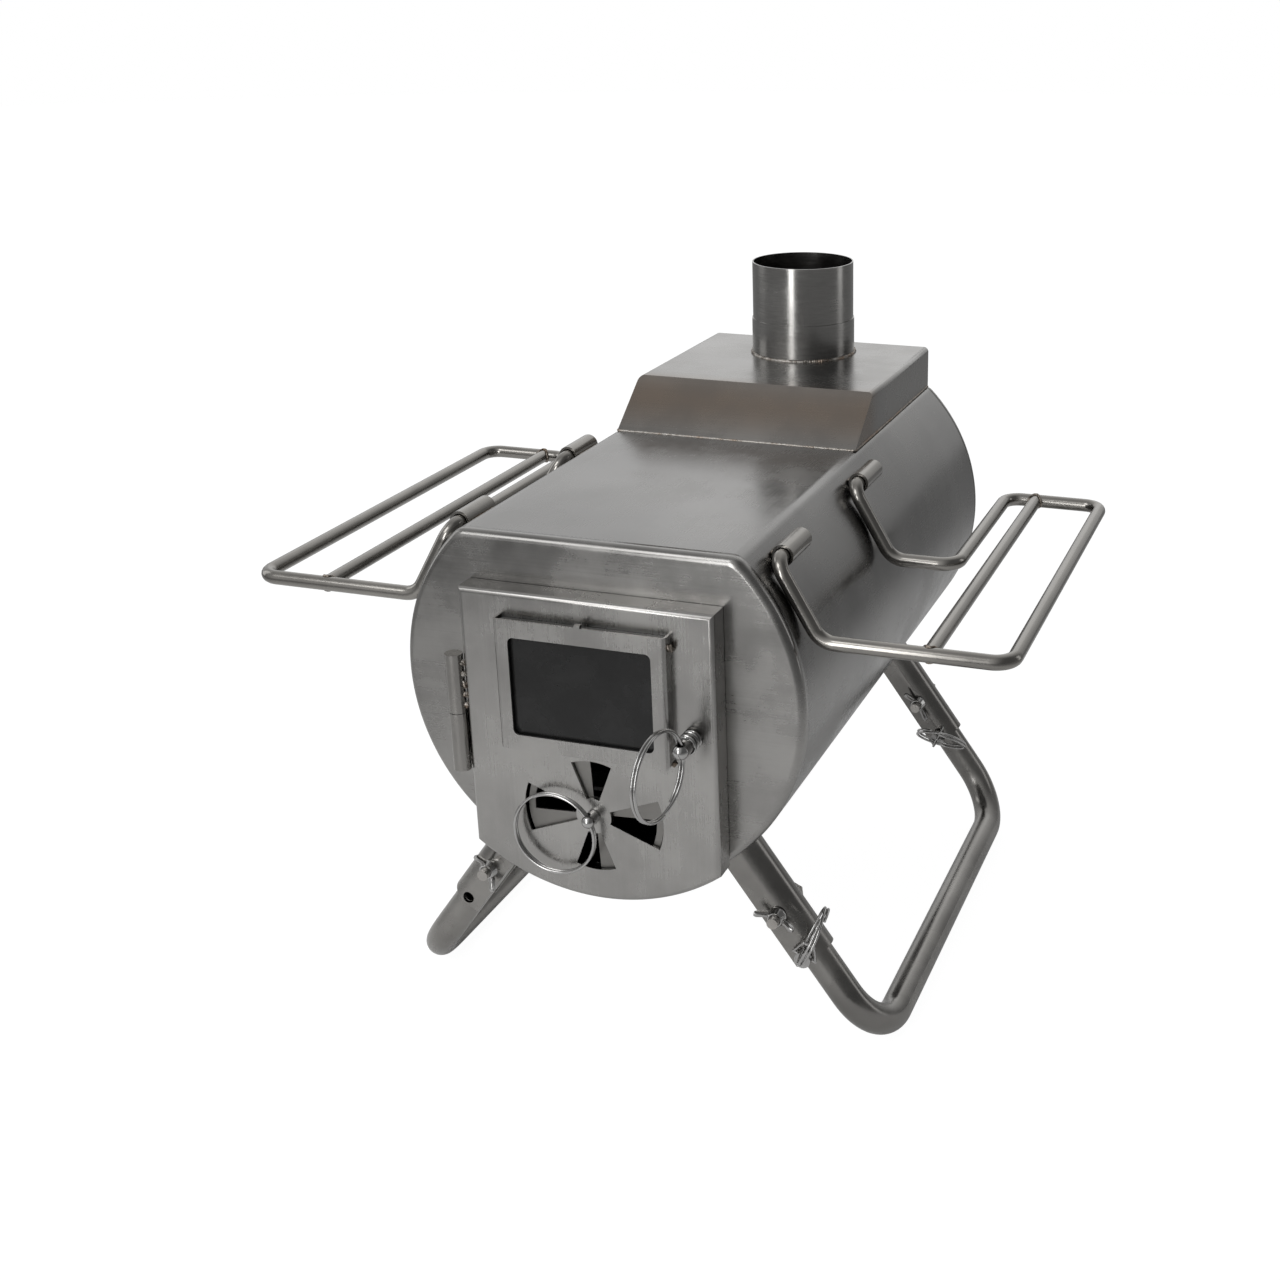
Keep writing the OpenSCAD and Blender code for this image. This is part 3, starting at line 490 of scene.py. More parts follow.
class Finishes:
    """Every material of the stove, made once."""

    def __init__(self) -> None:
        drum_axis = (0.0, S.axis_h * MM)
        flue_axis = (0.0, (S.collar_y - S.mid_y) * MM)
        plain = {"grain": Grain.NONE, "grain_per_m": 120.0}
        self.drum = Steel("steel_drum", 0.22, 0.015, smudge=0.22).build()
        self.cap = Steel("steel_cap", 0.26, rough=0.27, grain=Grain.ALONG_X, smudge=0.26).build()
        self.door = Steel("steel_door", 0.33, grain=Grain.ALONG_Z, smudge=0.18).build()
        flue_grain = {"grain": Grain.AROUND_Z, "grain_depth": 2e-6, "centre": flue_axis}
        self.flue = Steel("steel_flue", rough=0.22, streak=0.4, **flue_grain).build()
        self.box = Steel(
            "steel_box", 0.27, grain=Grain.ALONG_X, smudge=0.18, heat=HeatBand(185.0, 240.0)
        ).build()
        self.tube = Steel("steel_tube", 0.25, 0.03, smudge=0.2, **plain).build()
        self.rod = Steel("steel_rod", 0.26, 0.04, rough=0.22, rough_spread=0.05, **plain).build()
        self.bright = Steel(
            "steel_bright", 0.42, 0.01, rough=0.16, rough_spread=0.04, grain=Grain.NONE, smudge=0.08
        ).build()
        self.damper = Steel(
            "steel_damper", 0.2, 0.03, rough=0.4, grain=Grain.AROUND_Y, centre=drum_axis
        ).build()
        # The thread's and the rope's low colours are painted shade for their grooves.
        self.thread = Ridged(
            "steel_thread", "Y", ridges_per_m=1000.0, noise_per_m=200.0, noise_share=0.3,
            low=(0.16, 0.15, 0.14), high=(0.6, 0.58, 0.55), rough=(0.2, 0.35), depth=0.0004,
            metallic=1.0,
        ).build()
        self.rope = Ridged(
            "gasket_rope", "DIAGONAL", ridges_per_m=420.0, noise_per_m=900.0, noise_share=0.4,
            low=(0.3, 0.28, 0.24), high=(0.62, 0.6, 0.54), rough=(0.85, 1.0), depth=0.0006,
            raised_noise=0.4,
        ).build()
        self.weld = Gritty("weld_dark").build()
        self.weld_bright = Gritty("weld_bright", (0.2, 0.18, 0.16), (0.5, 0.48, 0.45)).build()
        self.iron = Gritty(
            "grate_iron", low=(0.03, 0.03, 0.03), high=(0.1, 0.1, 0.1), stain=(0.12, 0.06, 0.03),
            stain_share=0.5, stain_per_m=30.0, stain_detail=3.0, stain_shift=2.0, stain_from=0.55,
            grit_per_m=700.0, grit_span=NOISE_SPAN, rough=(0.55, 0.8), depth=0.0002, metallic=0.7,
        ).build()
        self.glass = Glass("glass_painted_shade").build()


def finish_piece(
    name: str, bm: Mesh, material: Material, body: str, smooth: float = 40.0
) -> bpy.types.Object:
    """Turns a bmesh into a piece with smooth shading below an angle.

    Args:
        name: The piece's name.
        bm: Its mesh, which is freed.
        material: Its material.
        body: The body that it rides on.
        smooth: Edges flatter than this many degrees are smooth.

    Returns:
        The object.
    """
    mesh = bpy.data.meshes.new(name)
    bmesh.ops.recalc_face_normals(bm, faces=bm.faces)
    bm.to_mesh(mesh)
    bm.free()
    mesh.polygons.foreach_set("use_smooth", [True] * len(mesh.polygons))
    mesh.set_sharp_from_angle(angle=math.radians(smooth))
    mesh.materials.clear()
    mesh.materials.append(material)
    obj = bpy.data.objects.new(name, mesh)
    bpy.context.scene.collection.objects.link(obj)
    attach(obj, body)
    log.info("%s rides on %s", name, body)
    return obj


def wire(
    bm: Mesh, path: Sequence[Vector], radii: float | Sequence[float], sides: int, closed: bool = False
) -> None:
    """Adds a round wire along a path.

    Args:
        bm: The mesh to add to.
        path: Its middle line in metres.
        radii: Its radius, or one for each point.
        sides: Faces round it, in fours.
        closed: Whether its end meets its start.
    """
    curve = bpy.data.curves.new("wire", "CURVE")
    curve.dimensions = "3D"
    curve.bevel_depth = 1.0
    curve.bevel_resolution = sides // 4
    curve.use_fill_caps = not closed
    spline = curve.splines.new("POLY")
    spline.points.add(len(path) - 1)
    spline.use_cyclic_u = closed
    for i, (point, place) in enumerate(zip(spline.points, path)):
        point.co = (*place, 1.0)
        point.radius = radii if isinstance(radii, float) else radii[i]
    holder = bpy.data.objects.new("wire", curve)
    mesh = bpy.data.meshes.new_from_object(holder)
    bm.from_mesh(mesh)
    bmesh.ops.remove_doubles(bm, verts=bm.verts, dist=SAME_POINT)
    bpy.data.objects.remove(holder)
    bpy.data.curves.remove(curve)
    bpy.data.meshes.remove(mesh)


def arc(centre: Vector, start: Vector, end: Vector, turn: float, steps: int) -> list[Vector]:
    """Gives points on an arc of turn degrees, from centre + start towards end, with both ends."""
    side = end.normalized() * start.length
    angles = (math.radians(turn * i / steps) for i in range(steps + 1))
    return [centre + start * math.cos(a) + side * math.sin(a) for a in angles]


def bent(points: Sequence[Vector], radii: Sequence[float], steps: int) -> list[Vector]:
    """Rounds a broken line's inner corners, each by its own radius in so many steps."""
    out = [points[0]]
    for before, corner, after, radius in zip(points, points[1:], points[2:], radii):
        arriving, leaving = (corner - before).normalized(), (after - corner).normalized()
        turn = arriving.angle(leaving)
        inward = (leaving - arriving * arriving.dot(leaving)).normalized()
        centre = corner - arriving * radius * math.tan(turn / 2) + inward * radius
        out += arc(centre, -inward * radius, arriving, math.degrees(turn), steps)
    return [*out, points[-1]]


def spaced(path: Sequence[Vector], step: float) -> list[Vector]:
    """Spaces a path's points evenly, about a step apart, with both ends kept."""
    lengths = [(b - a).length for a, b in zip(path, path[1:])]
    total = sum(lengths)
    count = max(2, round(total / step))
    out, i, done = [], 0, 0.0
    for k in range(count + 1):
        want = total * k / count
        while i < len(lengths) - 1 and done + lengths[i] < want:
            done += lengths[i]
            i += 1
        out.append(path[i].lerp(path[i + 1], min(1.0, (want - done) / lengths[i])))
    return out


@dataclass(frozen=True)
class TackRow:
    """Tacks on the door, placed across it, forward of its face and up."""

    name: str
    places: tuple[tuple[float, float, float], ...]
    radius: float
    bright: bool = False


DOOR_TACKS = (
    TackRow("weld_knuckle_upper", tuple((-66.8, -0.6, 12.8 - 5.6 * i) for i in range(5)), 1.7, True),
    TackRow("weld_frame_top", ((45.6, 3.6, 36.5), (45.8, 1.9, 34.8)), 1.5),
    TackRow("weld_frame_foot", ((-44.6, 0.7, -25.6), (44.6, 0.7, -25.6)), 1.2),
    TackRow("weld_frame_left", ((-45.5, 0.7, 34.8), (-45.5, 0.7, -20.0)), 1.1),
)


@dataclass
class Welds:
    """Weld beads and tacks where the stove's pieces are joined."""

    finishes: Finishes
    seed: int = 7
    point_share: float = 0.45
    pitch_share: float = 1.15
    ripple_share: float = 0.55
    chance_share: float = 0.45
    end_share: float = 0.45
    end_growth: float = 0.2
    drift_share: float = 0.35
    swell: float = 0.14
    gap: float = 0.2
    lift: float = 0.3
    made: int = 0

    def _chance(self) -> random.Random:
        """Starts the next weld's own row of random numbers."""
        self.made += 1
        return random.Random(self.seed + self.made - 1)

    def _finish(self, name: str, bm: Mesh, body: str, bright: bool, smooth: float) -> None:
        """Makes a weld's piece in bright or dark metal."""
        metal = self.finishes.weld_bright if bright else self.finishes.weld
        finish_piece(name, bm, metal, body, smooth=smooth)

    def bead(
        self, name: str, path: Sequence[Vector], radius: float, body: str,
        bright: bool = False, closed: bool = False, rough: float = 0.16,
    ) -> None:
        """Lays one bead with its ripples.

        Args:
            name: The piece's name.
            path: Where it runs, in metres.
            radius: Its radius in millimetres.
            body: The body that it rides on.
            bright: Whether the weld was cleaned.
            closed: Whether it is a full ring.
            rough: Share by which its radius varies.
        """
        rng = self._chance()
        points = spaced(path, radius * MM * self.point_share)
        step = (points[1] - points[0]).length
        if closed:
            points = points[:-1]
        radii = []
        for i in range(len(points)):
            wave = math.sin(math.tau * i * step / (radius * self.pitch_share * MM))
            ripple = self.ripple_share * wave + self.chance_share * rng.uniform(-1, 1)
            from_end = min(i, len(points) - 1 - i)
            taper = 1.0 if closed else min(1.0, self.end_share + self.end_growth * from_end)
            radii.append(radius * MM * (1 + rough * ripple) * taper)
        drift = radius * MM * rough * self.drift_share
        shaken = [p + Vector([rng.uniform(-drift, drift) for _ in range(3)]) for p in points]
        bm = bmesh.new()
        wire(bm, shaken, radii, sides=8, closed=closed)
        self._finish(name, bm, body, bright, smooth=60)

    def tack(self, row: TackRow) -> None:
        """Adds a row of lumpy tack welds as one piece."""
        rng = self._chance()
        bm = bmesh.new()
        for x, ahead, z in row.places:
            place = at(x, -S.door_depth - ahead, z)
            blob = bmesh.ops.create_icosphere(bm, subdivisions=3, radius=row.radius * MM)
            stretch = Vector((rng.uniform(0.8, 1.2), rng.uniform(0.7, 1.0), rng.uniform(0.85, 1.25)))
            phase = [rng.uniform(0, math.tau) for _ in range(3)]
            for v in blob["verts"]:
                d = v.co.normalized()
                lumps = sum(math.sin(5 * d[k] + 3 * d[k - 1] + phase[k]) for k in range(3))
                v.co = v.co * stretch * (1 + self.swell * lumps) + place
        self._finish(row.name, bm, "door", row.bright, smooth=80)

    def lay_all(self) -> None:
        """Lays every weld of the stove."""
        self._flue()
        self._shelves()
        for row in DOOR_TACKS:
            self.tack(row)
        self._brackets()

    def _flue(self) -> None:
        """Lays the ring round the collar's foot and the lines round the box's foot."""
        centre = at(0, S.collar_y, S.top_h + S.box_rise)
        ring = arc(centre, Vector((S.collar_r * MM, 0, 0)), Vector((0, 1, 0)), 360, 90)
        self.bead("weld_flue_collar", ring, 1.25, "stove", bright=True, closed=True, rough=0.22)
        half, foot = S.box_w / 2, S.top_h
        corners = [(-half, S.box_foot), (half, S.box_foot), (half, S.box_back), (-half, S.box_back)]
        for i, name in enumerate(("front", "right", "back", "left")):
            line = [at(x, y, foot) for x, y in (corners[i], corners[(i + 1) % 4])]
            self.bead(f"weld_box_{name}", line, 0.7, "stove", bright=name == "front", rough=0.07)

    def _shelves(self) -> None:
        """Lays the lines that hold the sleeves, and the rings round the shelves' middle bars."""
        sleeve_ends = (("front", S.front_sleeve_y), ("rear", S.rear_sleeve_y))
        bar_ends = (("front", S.front_arm_y, 1), ("rear", S.shelf_back_y, -1))
        for s, side in SIDES:
            for end, y in sleeve_ends:
                for k, edge in ((-1, "lower"), (1, "upper")):
                    path = self._sleeve_line(s, y, k)
                    self.bead(f"weld_sleeve_{side}_{end}_{edge}", path, 0.8, "stove", rough=0.1)
            for end, y, way in bar_ends:
                ring = self._bar_ring(s, y, way)
                self.bead(f"weld_shelf_bar_{side}_{end}", ring, 0.75, f"shelf_{side}", closed=True)

    @staticmethod
    def _sleeve_line(s: int, y: float, k: int, inward: float = 4.6, off: float = 4.2) -> list[Vector]:
        """Gives the line along a sleeve's foot, under it (k = -1) or over it (k = 1)."""
        x, z = polar(S.sleeve_reach, S.sleeve_angle)
        nx, nz = polar(1.0, S.sleeve_angle)
        px, pz = x - nx * inward - nz * k * off, z - nz * inward + nx * k * off
        return [at(s * px, v, pz) for v in (y + S.sleeve_end, y + S.sleeve_l - S.sleeve_end)]

    def _bar_ring(self, s: int, y: float, way: int, steps: int = 40) -> list[Vector]:
        """Gives the ring where a shelf's middle bar leaves the frame's rod, back or forwards."""
        r, ring = S.rod_r + self.gap, []
        for i in range(steps + 1):
            a = math.tau * i / steps
            sunk = math.sqrt(max(0.0, S.rod_r**2 - (r * math.sin(a)) ** 2))
            x, z = S.shelf_mid + r * math.cos(a), S.shelf_h + r * math.sin(a)
            ring.append(at(s * x, y + way * (sunk + self.gap), z))
        return ring

    def _brackets(self, straight: int = 9, steps: int = 24) -> None:
        """Lays a line round each leg bracket where it meets the drum."""
        px, pz = polar(S.pivot_reach, -S.pivot_angle)
        lean = math.radians(S.leg_splay)
        pivot = Vector((px, 0, pz))
        down = Vector((math.sin(lean), 0, -math.cos(lean)))
        out = Vector((math.cos(lean), 0, math.sin(lean)))
        edge = [(-S.bracket_in + i, -S.web_out_r) for i in range(straight)]
        turns = (math.pi * i / steps for i in range(steps + 1))
        edge += [(S.web_out_r * math.sin(a), -S.web_out_r * math.cos(a)) for a in turns]
        edge += [(-i, S.web_out_r) for i in range(straight)]
        for s, side in SIDES:
            for end, y in LEGS:
                path = []
                for reach, w in edge:
                    base = pivot + out * reach
                    b = base.dot(down)
                    short = b * b - base.dot(base) + (S.drum_r + self.lift) ** 2
                    p = base - down * (b - math.sqrt(max(0.0, short)))
                    path.append(at(s * p.x, y + w, p.z))
                self.bead(f"weld_bracket_{end}_{side}", path, 1.0, "stove")


@dataclass
class SplitRing:
    """A split ring of two turns, threaded through its eye."""

    name: str
    node: str
    body: str
    mid_r: float
    wire_d: float
    place: Matrix
    turns: float = 1.94
    start_turn: float = 112.0
    wire_share: float = 0.8
    step_start: float = 0.44
    step_span: float = 0.12
    steps: int = 150

    def make(self, material: Material) -> None:
        """Winds the ring, with the step between its turns opposite its ends."""
        path = []
        for i in range(self.steps + 1):
            share = i / self.steps
            a = math.tau * self.turns * share + math.radians(self.start_turn)
            part = eased(share, self.step_start, self.step_span)
            height = (part * part * (3 - 2 * part) - 0.5) * self.wire_d
            spot = Vector((self.mid_r * math.cos(a), self.mid_r * math.sin(a), height))
            path.append(self.place @ (spot * MM))
        bm = bmesh.new()
        wire(bm, path, self.wire_d * self.wire_share / 2 * MM, sides=12)
        obj = finish_piece(self.name, bm, material, self.body)
        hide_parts(self.node)


@dataclass
class LatchSpring:
    """The latch's coil spring, with closed ends."""

    wire_r: float = 0.6
    mid_r: float = 4.6
    length: float = 9.4
    gap: float = 0.45
    turns: float = 5.0
    closed_share: float = 0.1
    closed_rise: float = 0.12
    steps: int = 200

    def make(self, material: Material) -> None:
        """Winds the spring about the latch."""
        x, z = S.door_w / 2 - S.latch_inset, -S.latch_drop
        start = -S.door_depth - self.length - self.gap + self.wire_r
        path = []
        for i in range(self.steps + 1):
            share = i / self.steps
            a = math.tau * self.turns * share
            opened = eased(share, self.closed_share, 1 - 2 * self.closed_share)
            risen = self.closed_rise * share + (1 - self.closed_rise) * opened
            y = start + (self.length - 2 * self.wire_r) * risen
            path.append(at(x + self.mid_r * math.cos(a), y, z + self.mid_r * math.sin(a)))
        bm = bmesh.new()
        wire(bm, path, self.wire_r * MM, sides=8)
        obj = finish_piece("latch_coil", bm, material, "door")
        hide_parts("latch_spring")


@dataclass
class Skin:
    """The rolled drum and its two pressed end caps, with softly bent corners."""

    sheet: float = 1.2
    bend_r: float = 9.0
    rim_r: float = 4.0
    rim_steps: int = 6
    arc_steps: int = 132
    bend_steps: int = 8
    door_half: float = 60.0
    door_top: float = 46.8
    door_r: float = 96.0
    door_steps: int = 40
    hole_half: float = 63.0
    hole_front: float = 200.8
    hole_back: float = 340.0

    def make_all(self, finishes: Finishes) -> None:
        """Rolls the drum and presses the caps."""
        bm = bmesh.new()
        self._joined(bm, [self._loop(bm, 0.0, y) for y in (S.cap_depth, S.drum_l - S.cap_depth)])
        self._cut_smoke_hole(bm)
        self._finish("drum_skin", bm, finishes.drum, "drum_shell")
        caps = (("front_cap", "front_plate", 0.0, 1), ("rear_cap", "rear_plate", S.drum_l, -1))
        for name, node, start, way in caps:
            bm = bmesh.new()
            loops = [self._loop(bm, 0.0, start + way * S.cap_depth)]
            for i in range(self.rim_steps + 1):
                a = math.radians(90 * i / self.rim_steps)
                inset, depth = self.rim_r * (1 - math.cos(a)), self.rim_r * (1 - math.sin(a))
                loops.append(self._loop(bm, inset, start + way * depth))
            self._joined(bm, loops)
            edges = loops[-1] + (self._opening(bm) if way > 0 else [])
            facing = {"use_beauty": True, "use_dissolve": False, "normal": (0, -way, 0)}
            bmesh.ops.triangle_fill(bm, edges=edges, **facing)
            self._finish(name, bm, finishes.cap, node)

    @staticmethod
    def _spun(bm: Mesh, vert: Vert, centre: Vector, turn: float, steps: int) -> Vert:
        """Spins a vertex clockwise, seen from the door, and gives the arc's last vertex."""
        angle = math.radians(turn)
        spun = bmesh.ops.spin(bm, geom=[vert], cent=centre, axis=(0, 1, 0), angle=angle, steps=steps)
        return next(g for g in spun["geom_last"] if isinstance(g, Vert))

    def _loop(self, bm: Mesh, inset: float, y: float) -> list[bmesh.types.BMEdge]:
        """Draws the flat-topped outline with its bent corners, inset from the drum's surface."""
        known = set(bm.edges)
        low = S.top_h - self.bend_r
        out = math.sqrt((S.drum_r - self.bend_r) ** 2 - low**2)
        lean = math.degrees(math.atan2(low, out))
        first = vert = bm.verts.new(at(out, y, S.top_h - inset))
        corner, round_drum = (90 - lean, self.bend_steps), (180 + 2 * lean, self.arc_steps)
        for x, z, (turn, steps) in ((out, low, corner), (0, 0, round_drum), (-out, low, corner)):
            vert = self._spun(bm, vert, at(x, y, z), turn, steps)
        bm.edges.new((vert, first))
        return [e for e in bm.edges if e not in known]

    def _opening(self, bm: Mesh) -> list[bmesh.types.BMEdge]:
        """Draws the door opening in the front cap and gives its edges."""
        known = set(bm.edges)
        half = self.door_half
        turn = math.degrees(math.acos(half / self.door_r))
        first = bm.verts.new(at(half, 0, -self.door_r * math.sin(math.radians(turn))))
        last = self._spun(bm, first, at(0, 0, 0), 180 - 2 * turn, self.door_steps)
        corners = [bm.verts.new(at(x, 0, self.door_top)) for x in (-half, half)]
        for a, b in ((last, corners[0]), corners, (corners[1], first)):
            bm.edges.new((a, b))
        return [e for e in bm.edges if e not in known]

    @staticmethod
    def _joined(bm: Mesh, loops: Sequence[list[bmesh.types.BMEdge]]) -> None:
        """Bridges each loop to the next."""
        for a, b in zip(loops, loops[1:]):
            bmesh.ops.bridge_loops(bm, edges=a + b)

    def _cut_smoke_hole(self, bm: Mesh) -> None:
        """Cuts the hole under the flue box into the drum's flat top."""
        half, front, back = self.hole_half, self.hole_front, self.hole_back
        top = at(0, 0, S.top_h).z - SAME_HEIGHT
        across, along = (1, 0, 0), (0, 1, 0)
        for x, y, way in ((-half, 0, across), (half, 0, across), (0, front, along), (0, back, along)):
            tops = [f for f in bm.faces if f.calc_center_median().z > top]
            geom = {g for f in tops for g in (f, *f.edges, *f.verts)}
            bmesh.ops.bisect_plane(bm, geom=list(geom), plane_co=at(x, y, 0), plane_no=way)
        low, high = at(-half, front, 0), at(half, back, 0)
        middles = ((f, f.calc_center_median()) for f in bm.faces)
        inside = [f for f, m in middles if m.z > top and low.x < m.x < high.x and low.y < m.y < high.y]
        bmesh.ops.delete(bm, geom=inside, context="FACES")

    def _finish(self, name: str, bm: Mesh, material: Material, node: str) -> None:
        """Gives a skin its sheet thickness and puts it in its CAD node's place."""
        obj = finish_piece(name, bm, material, "stove")
        wall = obj.modifiers.new("sheet", "SOLIDIFY")
        wall.thickness = self.sheet * MM
        wall.offset = -1
        obj.modifiers.new("flats", "WEIGHTED_NORMAL").keep_sharp = True
        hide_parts(node)


@dataclass
class ShelfRod:
    """One shelf's rod, bent in one piece from sleeve to sleeve, and its middle bar."""

    side: int
    name: str
    bends: tuple[float, ...] = (8, 12, 10, 10, 10, 10, 12, 8)
    bend_steps: int = 16
    sides: int = 28
    bar_step: float = 0.02

    def make(self, material: Material) -> None:
        """Bends the rod and sets the bar between its long sides."""
        x, z = polar(S.sleeve_reach, S.sleeve_angle)
        knee = x + (z - S.shelf_h) * math.tan(math.radians(S.arm_lean))
        front, rear, back, low = S.front_arm_y, S.rear_arm_y, S.shelf_back_y, S.shelf_h
        corners = (
            (x, S.front_sleeve_y + S.rod_in, z), (x, front, z), (knee, front, low),
            (S.shelf_out, front, low), (S.shelf_out, back, low), (S.shelf_in, back, low),
            (S.shelf_in, rear, low), (knee, rear, low), (x, rear, z),
            (x, S.rear_sleeve_y + S.rod_in, z),
        )
        bm = bmesh.new()
        points = [at(self.side * a, b, c) for a, b, c in corners]
        ends = [at(self.side * S.shelf_mid, y, low) for y in (front, back)]
        rod = bent(points, [r * MM for r in self.bends], self.bend_steps)
        for path in (rod, spaced(ends, self.bar_step)):
            wire(bm, path, S.rod_r * MM, self.sides)
        obj = finish_piece(f"shelf_rod_{self.name}", bm, material, f"shelf_{self.name}")
        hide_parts(f"shelf_frame_{self.name}", f"shelf_middle_bar_{self.name}")


@dataclass
class WingNut:
    """A pressed wing nut with two rounded wings."""

    where: str
    side: int
    y: float
    turn: float
    gap: float = 0.1
    steps: int = 40
    wing_half: float = 1.3
    wing_root: float = 3.7
    wing_edge: float = 0.7
    wing: tuple[tuple[float, float], ...] = (
        (3.6, 0.9), (6.0, 1.4), (8.4, 3.0), (10.6, 4.3), (11.4, 5.9), (10.9, 7.4), (9.3, 7.5),
        (7.6, 6.3), (6.0, 5.0), (4.4, 4.3), (3.6, 4.1),
    )
    hub: tuple[tuple[float, float], ...] = (
        (3.05, 0.0), (5.1, 0.0), (5.25, 0.3), (5.2, 1.6), (4.5, 2.6), (4.25, 4.4), (3.9, 4.95),
        (3.3, 5.0), (3.05, 4.8),
    )

    def _is_rim(self, edge: bmesh.types.BMEdge, side: int) -> bool:
        """Tells whether an edge runs round a face of one wing, clear of the hub."""
        a, b = (v.co for v in edge.verts)
        on_face = a.y == b.y and abs(abs(a.y) - self.wing_half) < SAME_SPOT
        return edge.is_manifold and a.x * side > self.wing_root and on_face

    def make(self, material: Material) -> None:
        """Spins the hub and presses the wings."""
        bm = bmesh.new()
        verts = [bm.verts.new((r, 0, h)) for r, h in self.hub]
        geom = verts + [bm.edges.new((a, b)) for a, b in zip(verts, verts[1:] + verts[:1])]
        whole = {"cent": (0, 0, 0), "axis": (0, 0, 1), "angle": math.tau, "use_merge": True}
        bmesh.ops.spin(bm, geom=geom, steps=self.steps, **whole)
        for side in (-1, 1):
            outline = [bm.verts.new((side * u, -self.wing_half, h)) for u, h in self.wing]
            grown = bmesh.ops.extrude_face_region(bm, geom=[bm.faces.new(outline)])
            tips = [g for g in grown["geom"] if isinstance(g, Vert)]
            bmesh.ops.translate(bm, verts=tips, vec=(0, 2 * self.wing_half, 0))
            rim = [e for e in bm.edges if self._is_rim(e, side)]
            rounded = {"affect": "EDGES", "segments": 3, "profile": 0.5, "material": -1}
            bmesh.ops.bevel(bm, geom=rim, offset=self.wing_edge, **rounded)
        px, pz = polar(S.pivot_reach, -S.pivot_angle)
        place = Matrix.Translation(at(self.side * px, self.y - S.web_out_r - self.gap, pz))
        bm.transform(place @ turned(90, "X") @ turned(self.turn, "Z") @ Matrix.Scale(MM, 4))
        name = f"shaped_wing_nut_{self.where}"
        obj = finish_piece(name, bm, material, "stove", smooth=35)
        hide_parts(f"wing_nut_{self.where}")


NUT_TURNS = {"front_left": -66, "front_right": -17, "rear_left": 25, "rear_right": -48}
SOFTENED = {"door_shell": 0.6, "flue_box": 0.5}


@dataclass
class Dressing:
    """The finishes of the pieces that come from CAD."""

    finishes: Finishes
    joined_within: float = 2e-6
    segments: int = 3
    sharp_from: float = 35.0

    def apply(self, nodes: dict[str, bpy.types.Object]) -> None:
        """Gives each CAD node the first material whose name start is its own."""
        f = self.finishes
        table = {
            "drum_shell": f.drum, "front_plate": f.cap, "rear_plate": f.cap, "flue_box": f.box,
            "flue_collar": f.flue, "door_shell": f.door, "door_gasket": f.rope,
            "window_frame": f.door, "window_glass": f.glass, "glass_gasket": f.rope,
            "hinge_pin": f.bright, "hinge_knuckle": f.tube, "damper_disc": f.damper,
            "damper_post": f.bright, "damper_ring": f.bright, "latch_tongue": f.damper,
            "latch_": f.bright, "lock_": f.bright, "wing_nut": f.bright, "pivot_bolt": f.thread,
            "leg_": f.tube, "shelf_": f.rod, "fire_grate": f.iron, "baffle_plate": f.damper,
        }
        for name, obj in nodes.items():
            material = next(m for start, m in table.items() if name.startswith(start))
            obj.data.materials.clear()
            obj.data.materials.append(material)
            if name in SOFTENED:
                self._soften(obj, SOFTENED[name])
            log.info("%s wears %s", name, material.name)

    def _soften(self, obj: bpy.types.Object, width: float) -> None:
        """Rounds a node's sharp edges by a width in millimetres, so that they catch the light."""
        obj.modifiers.new("joined", "WELD").merge_threshold = self.joined_within
        edge = obj.modifiers.new("edges", "BEVEL")
        edge.width = width * MM
        edge.segments = self.segments
        edge.limit_method = "ANGLE"
        edge.angle_limit = math.radians(self.sharp_from)
        edge.harden_normals = True


@dataclass(frozen=True)
class Lamp:
    """A soft light: where it hangs in millimetres, its size in metres and its power."""

    name: str
    place: tuple[float, float, float]
    size: tuple[float, float]
    watts: float


LAMPS = (
    Lamp("key", (-800, -1200, 1500), (0.9, 0.9), 8),
    Lamp("strip", (-165, -890, 180), (0.22, 0.65), 2.8),
    Lamp("back", (-480, 1600, 700), (1.6, 0.7), 0.8),
    Lamp("right", (1500, 900, 300), (0.4, 1.2), 1.5),
    Lamp("left", (-1500, 200, 500), (0.6, 1.2), 2.5),
)


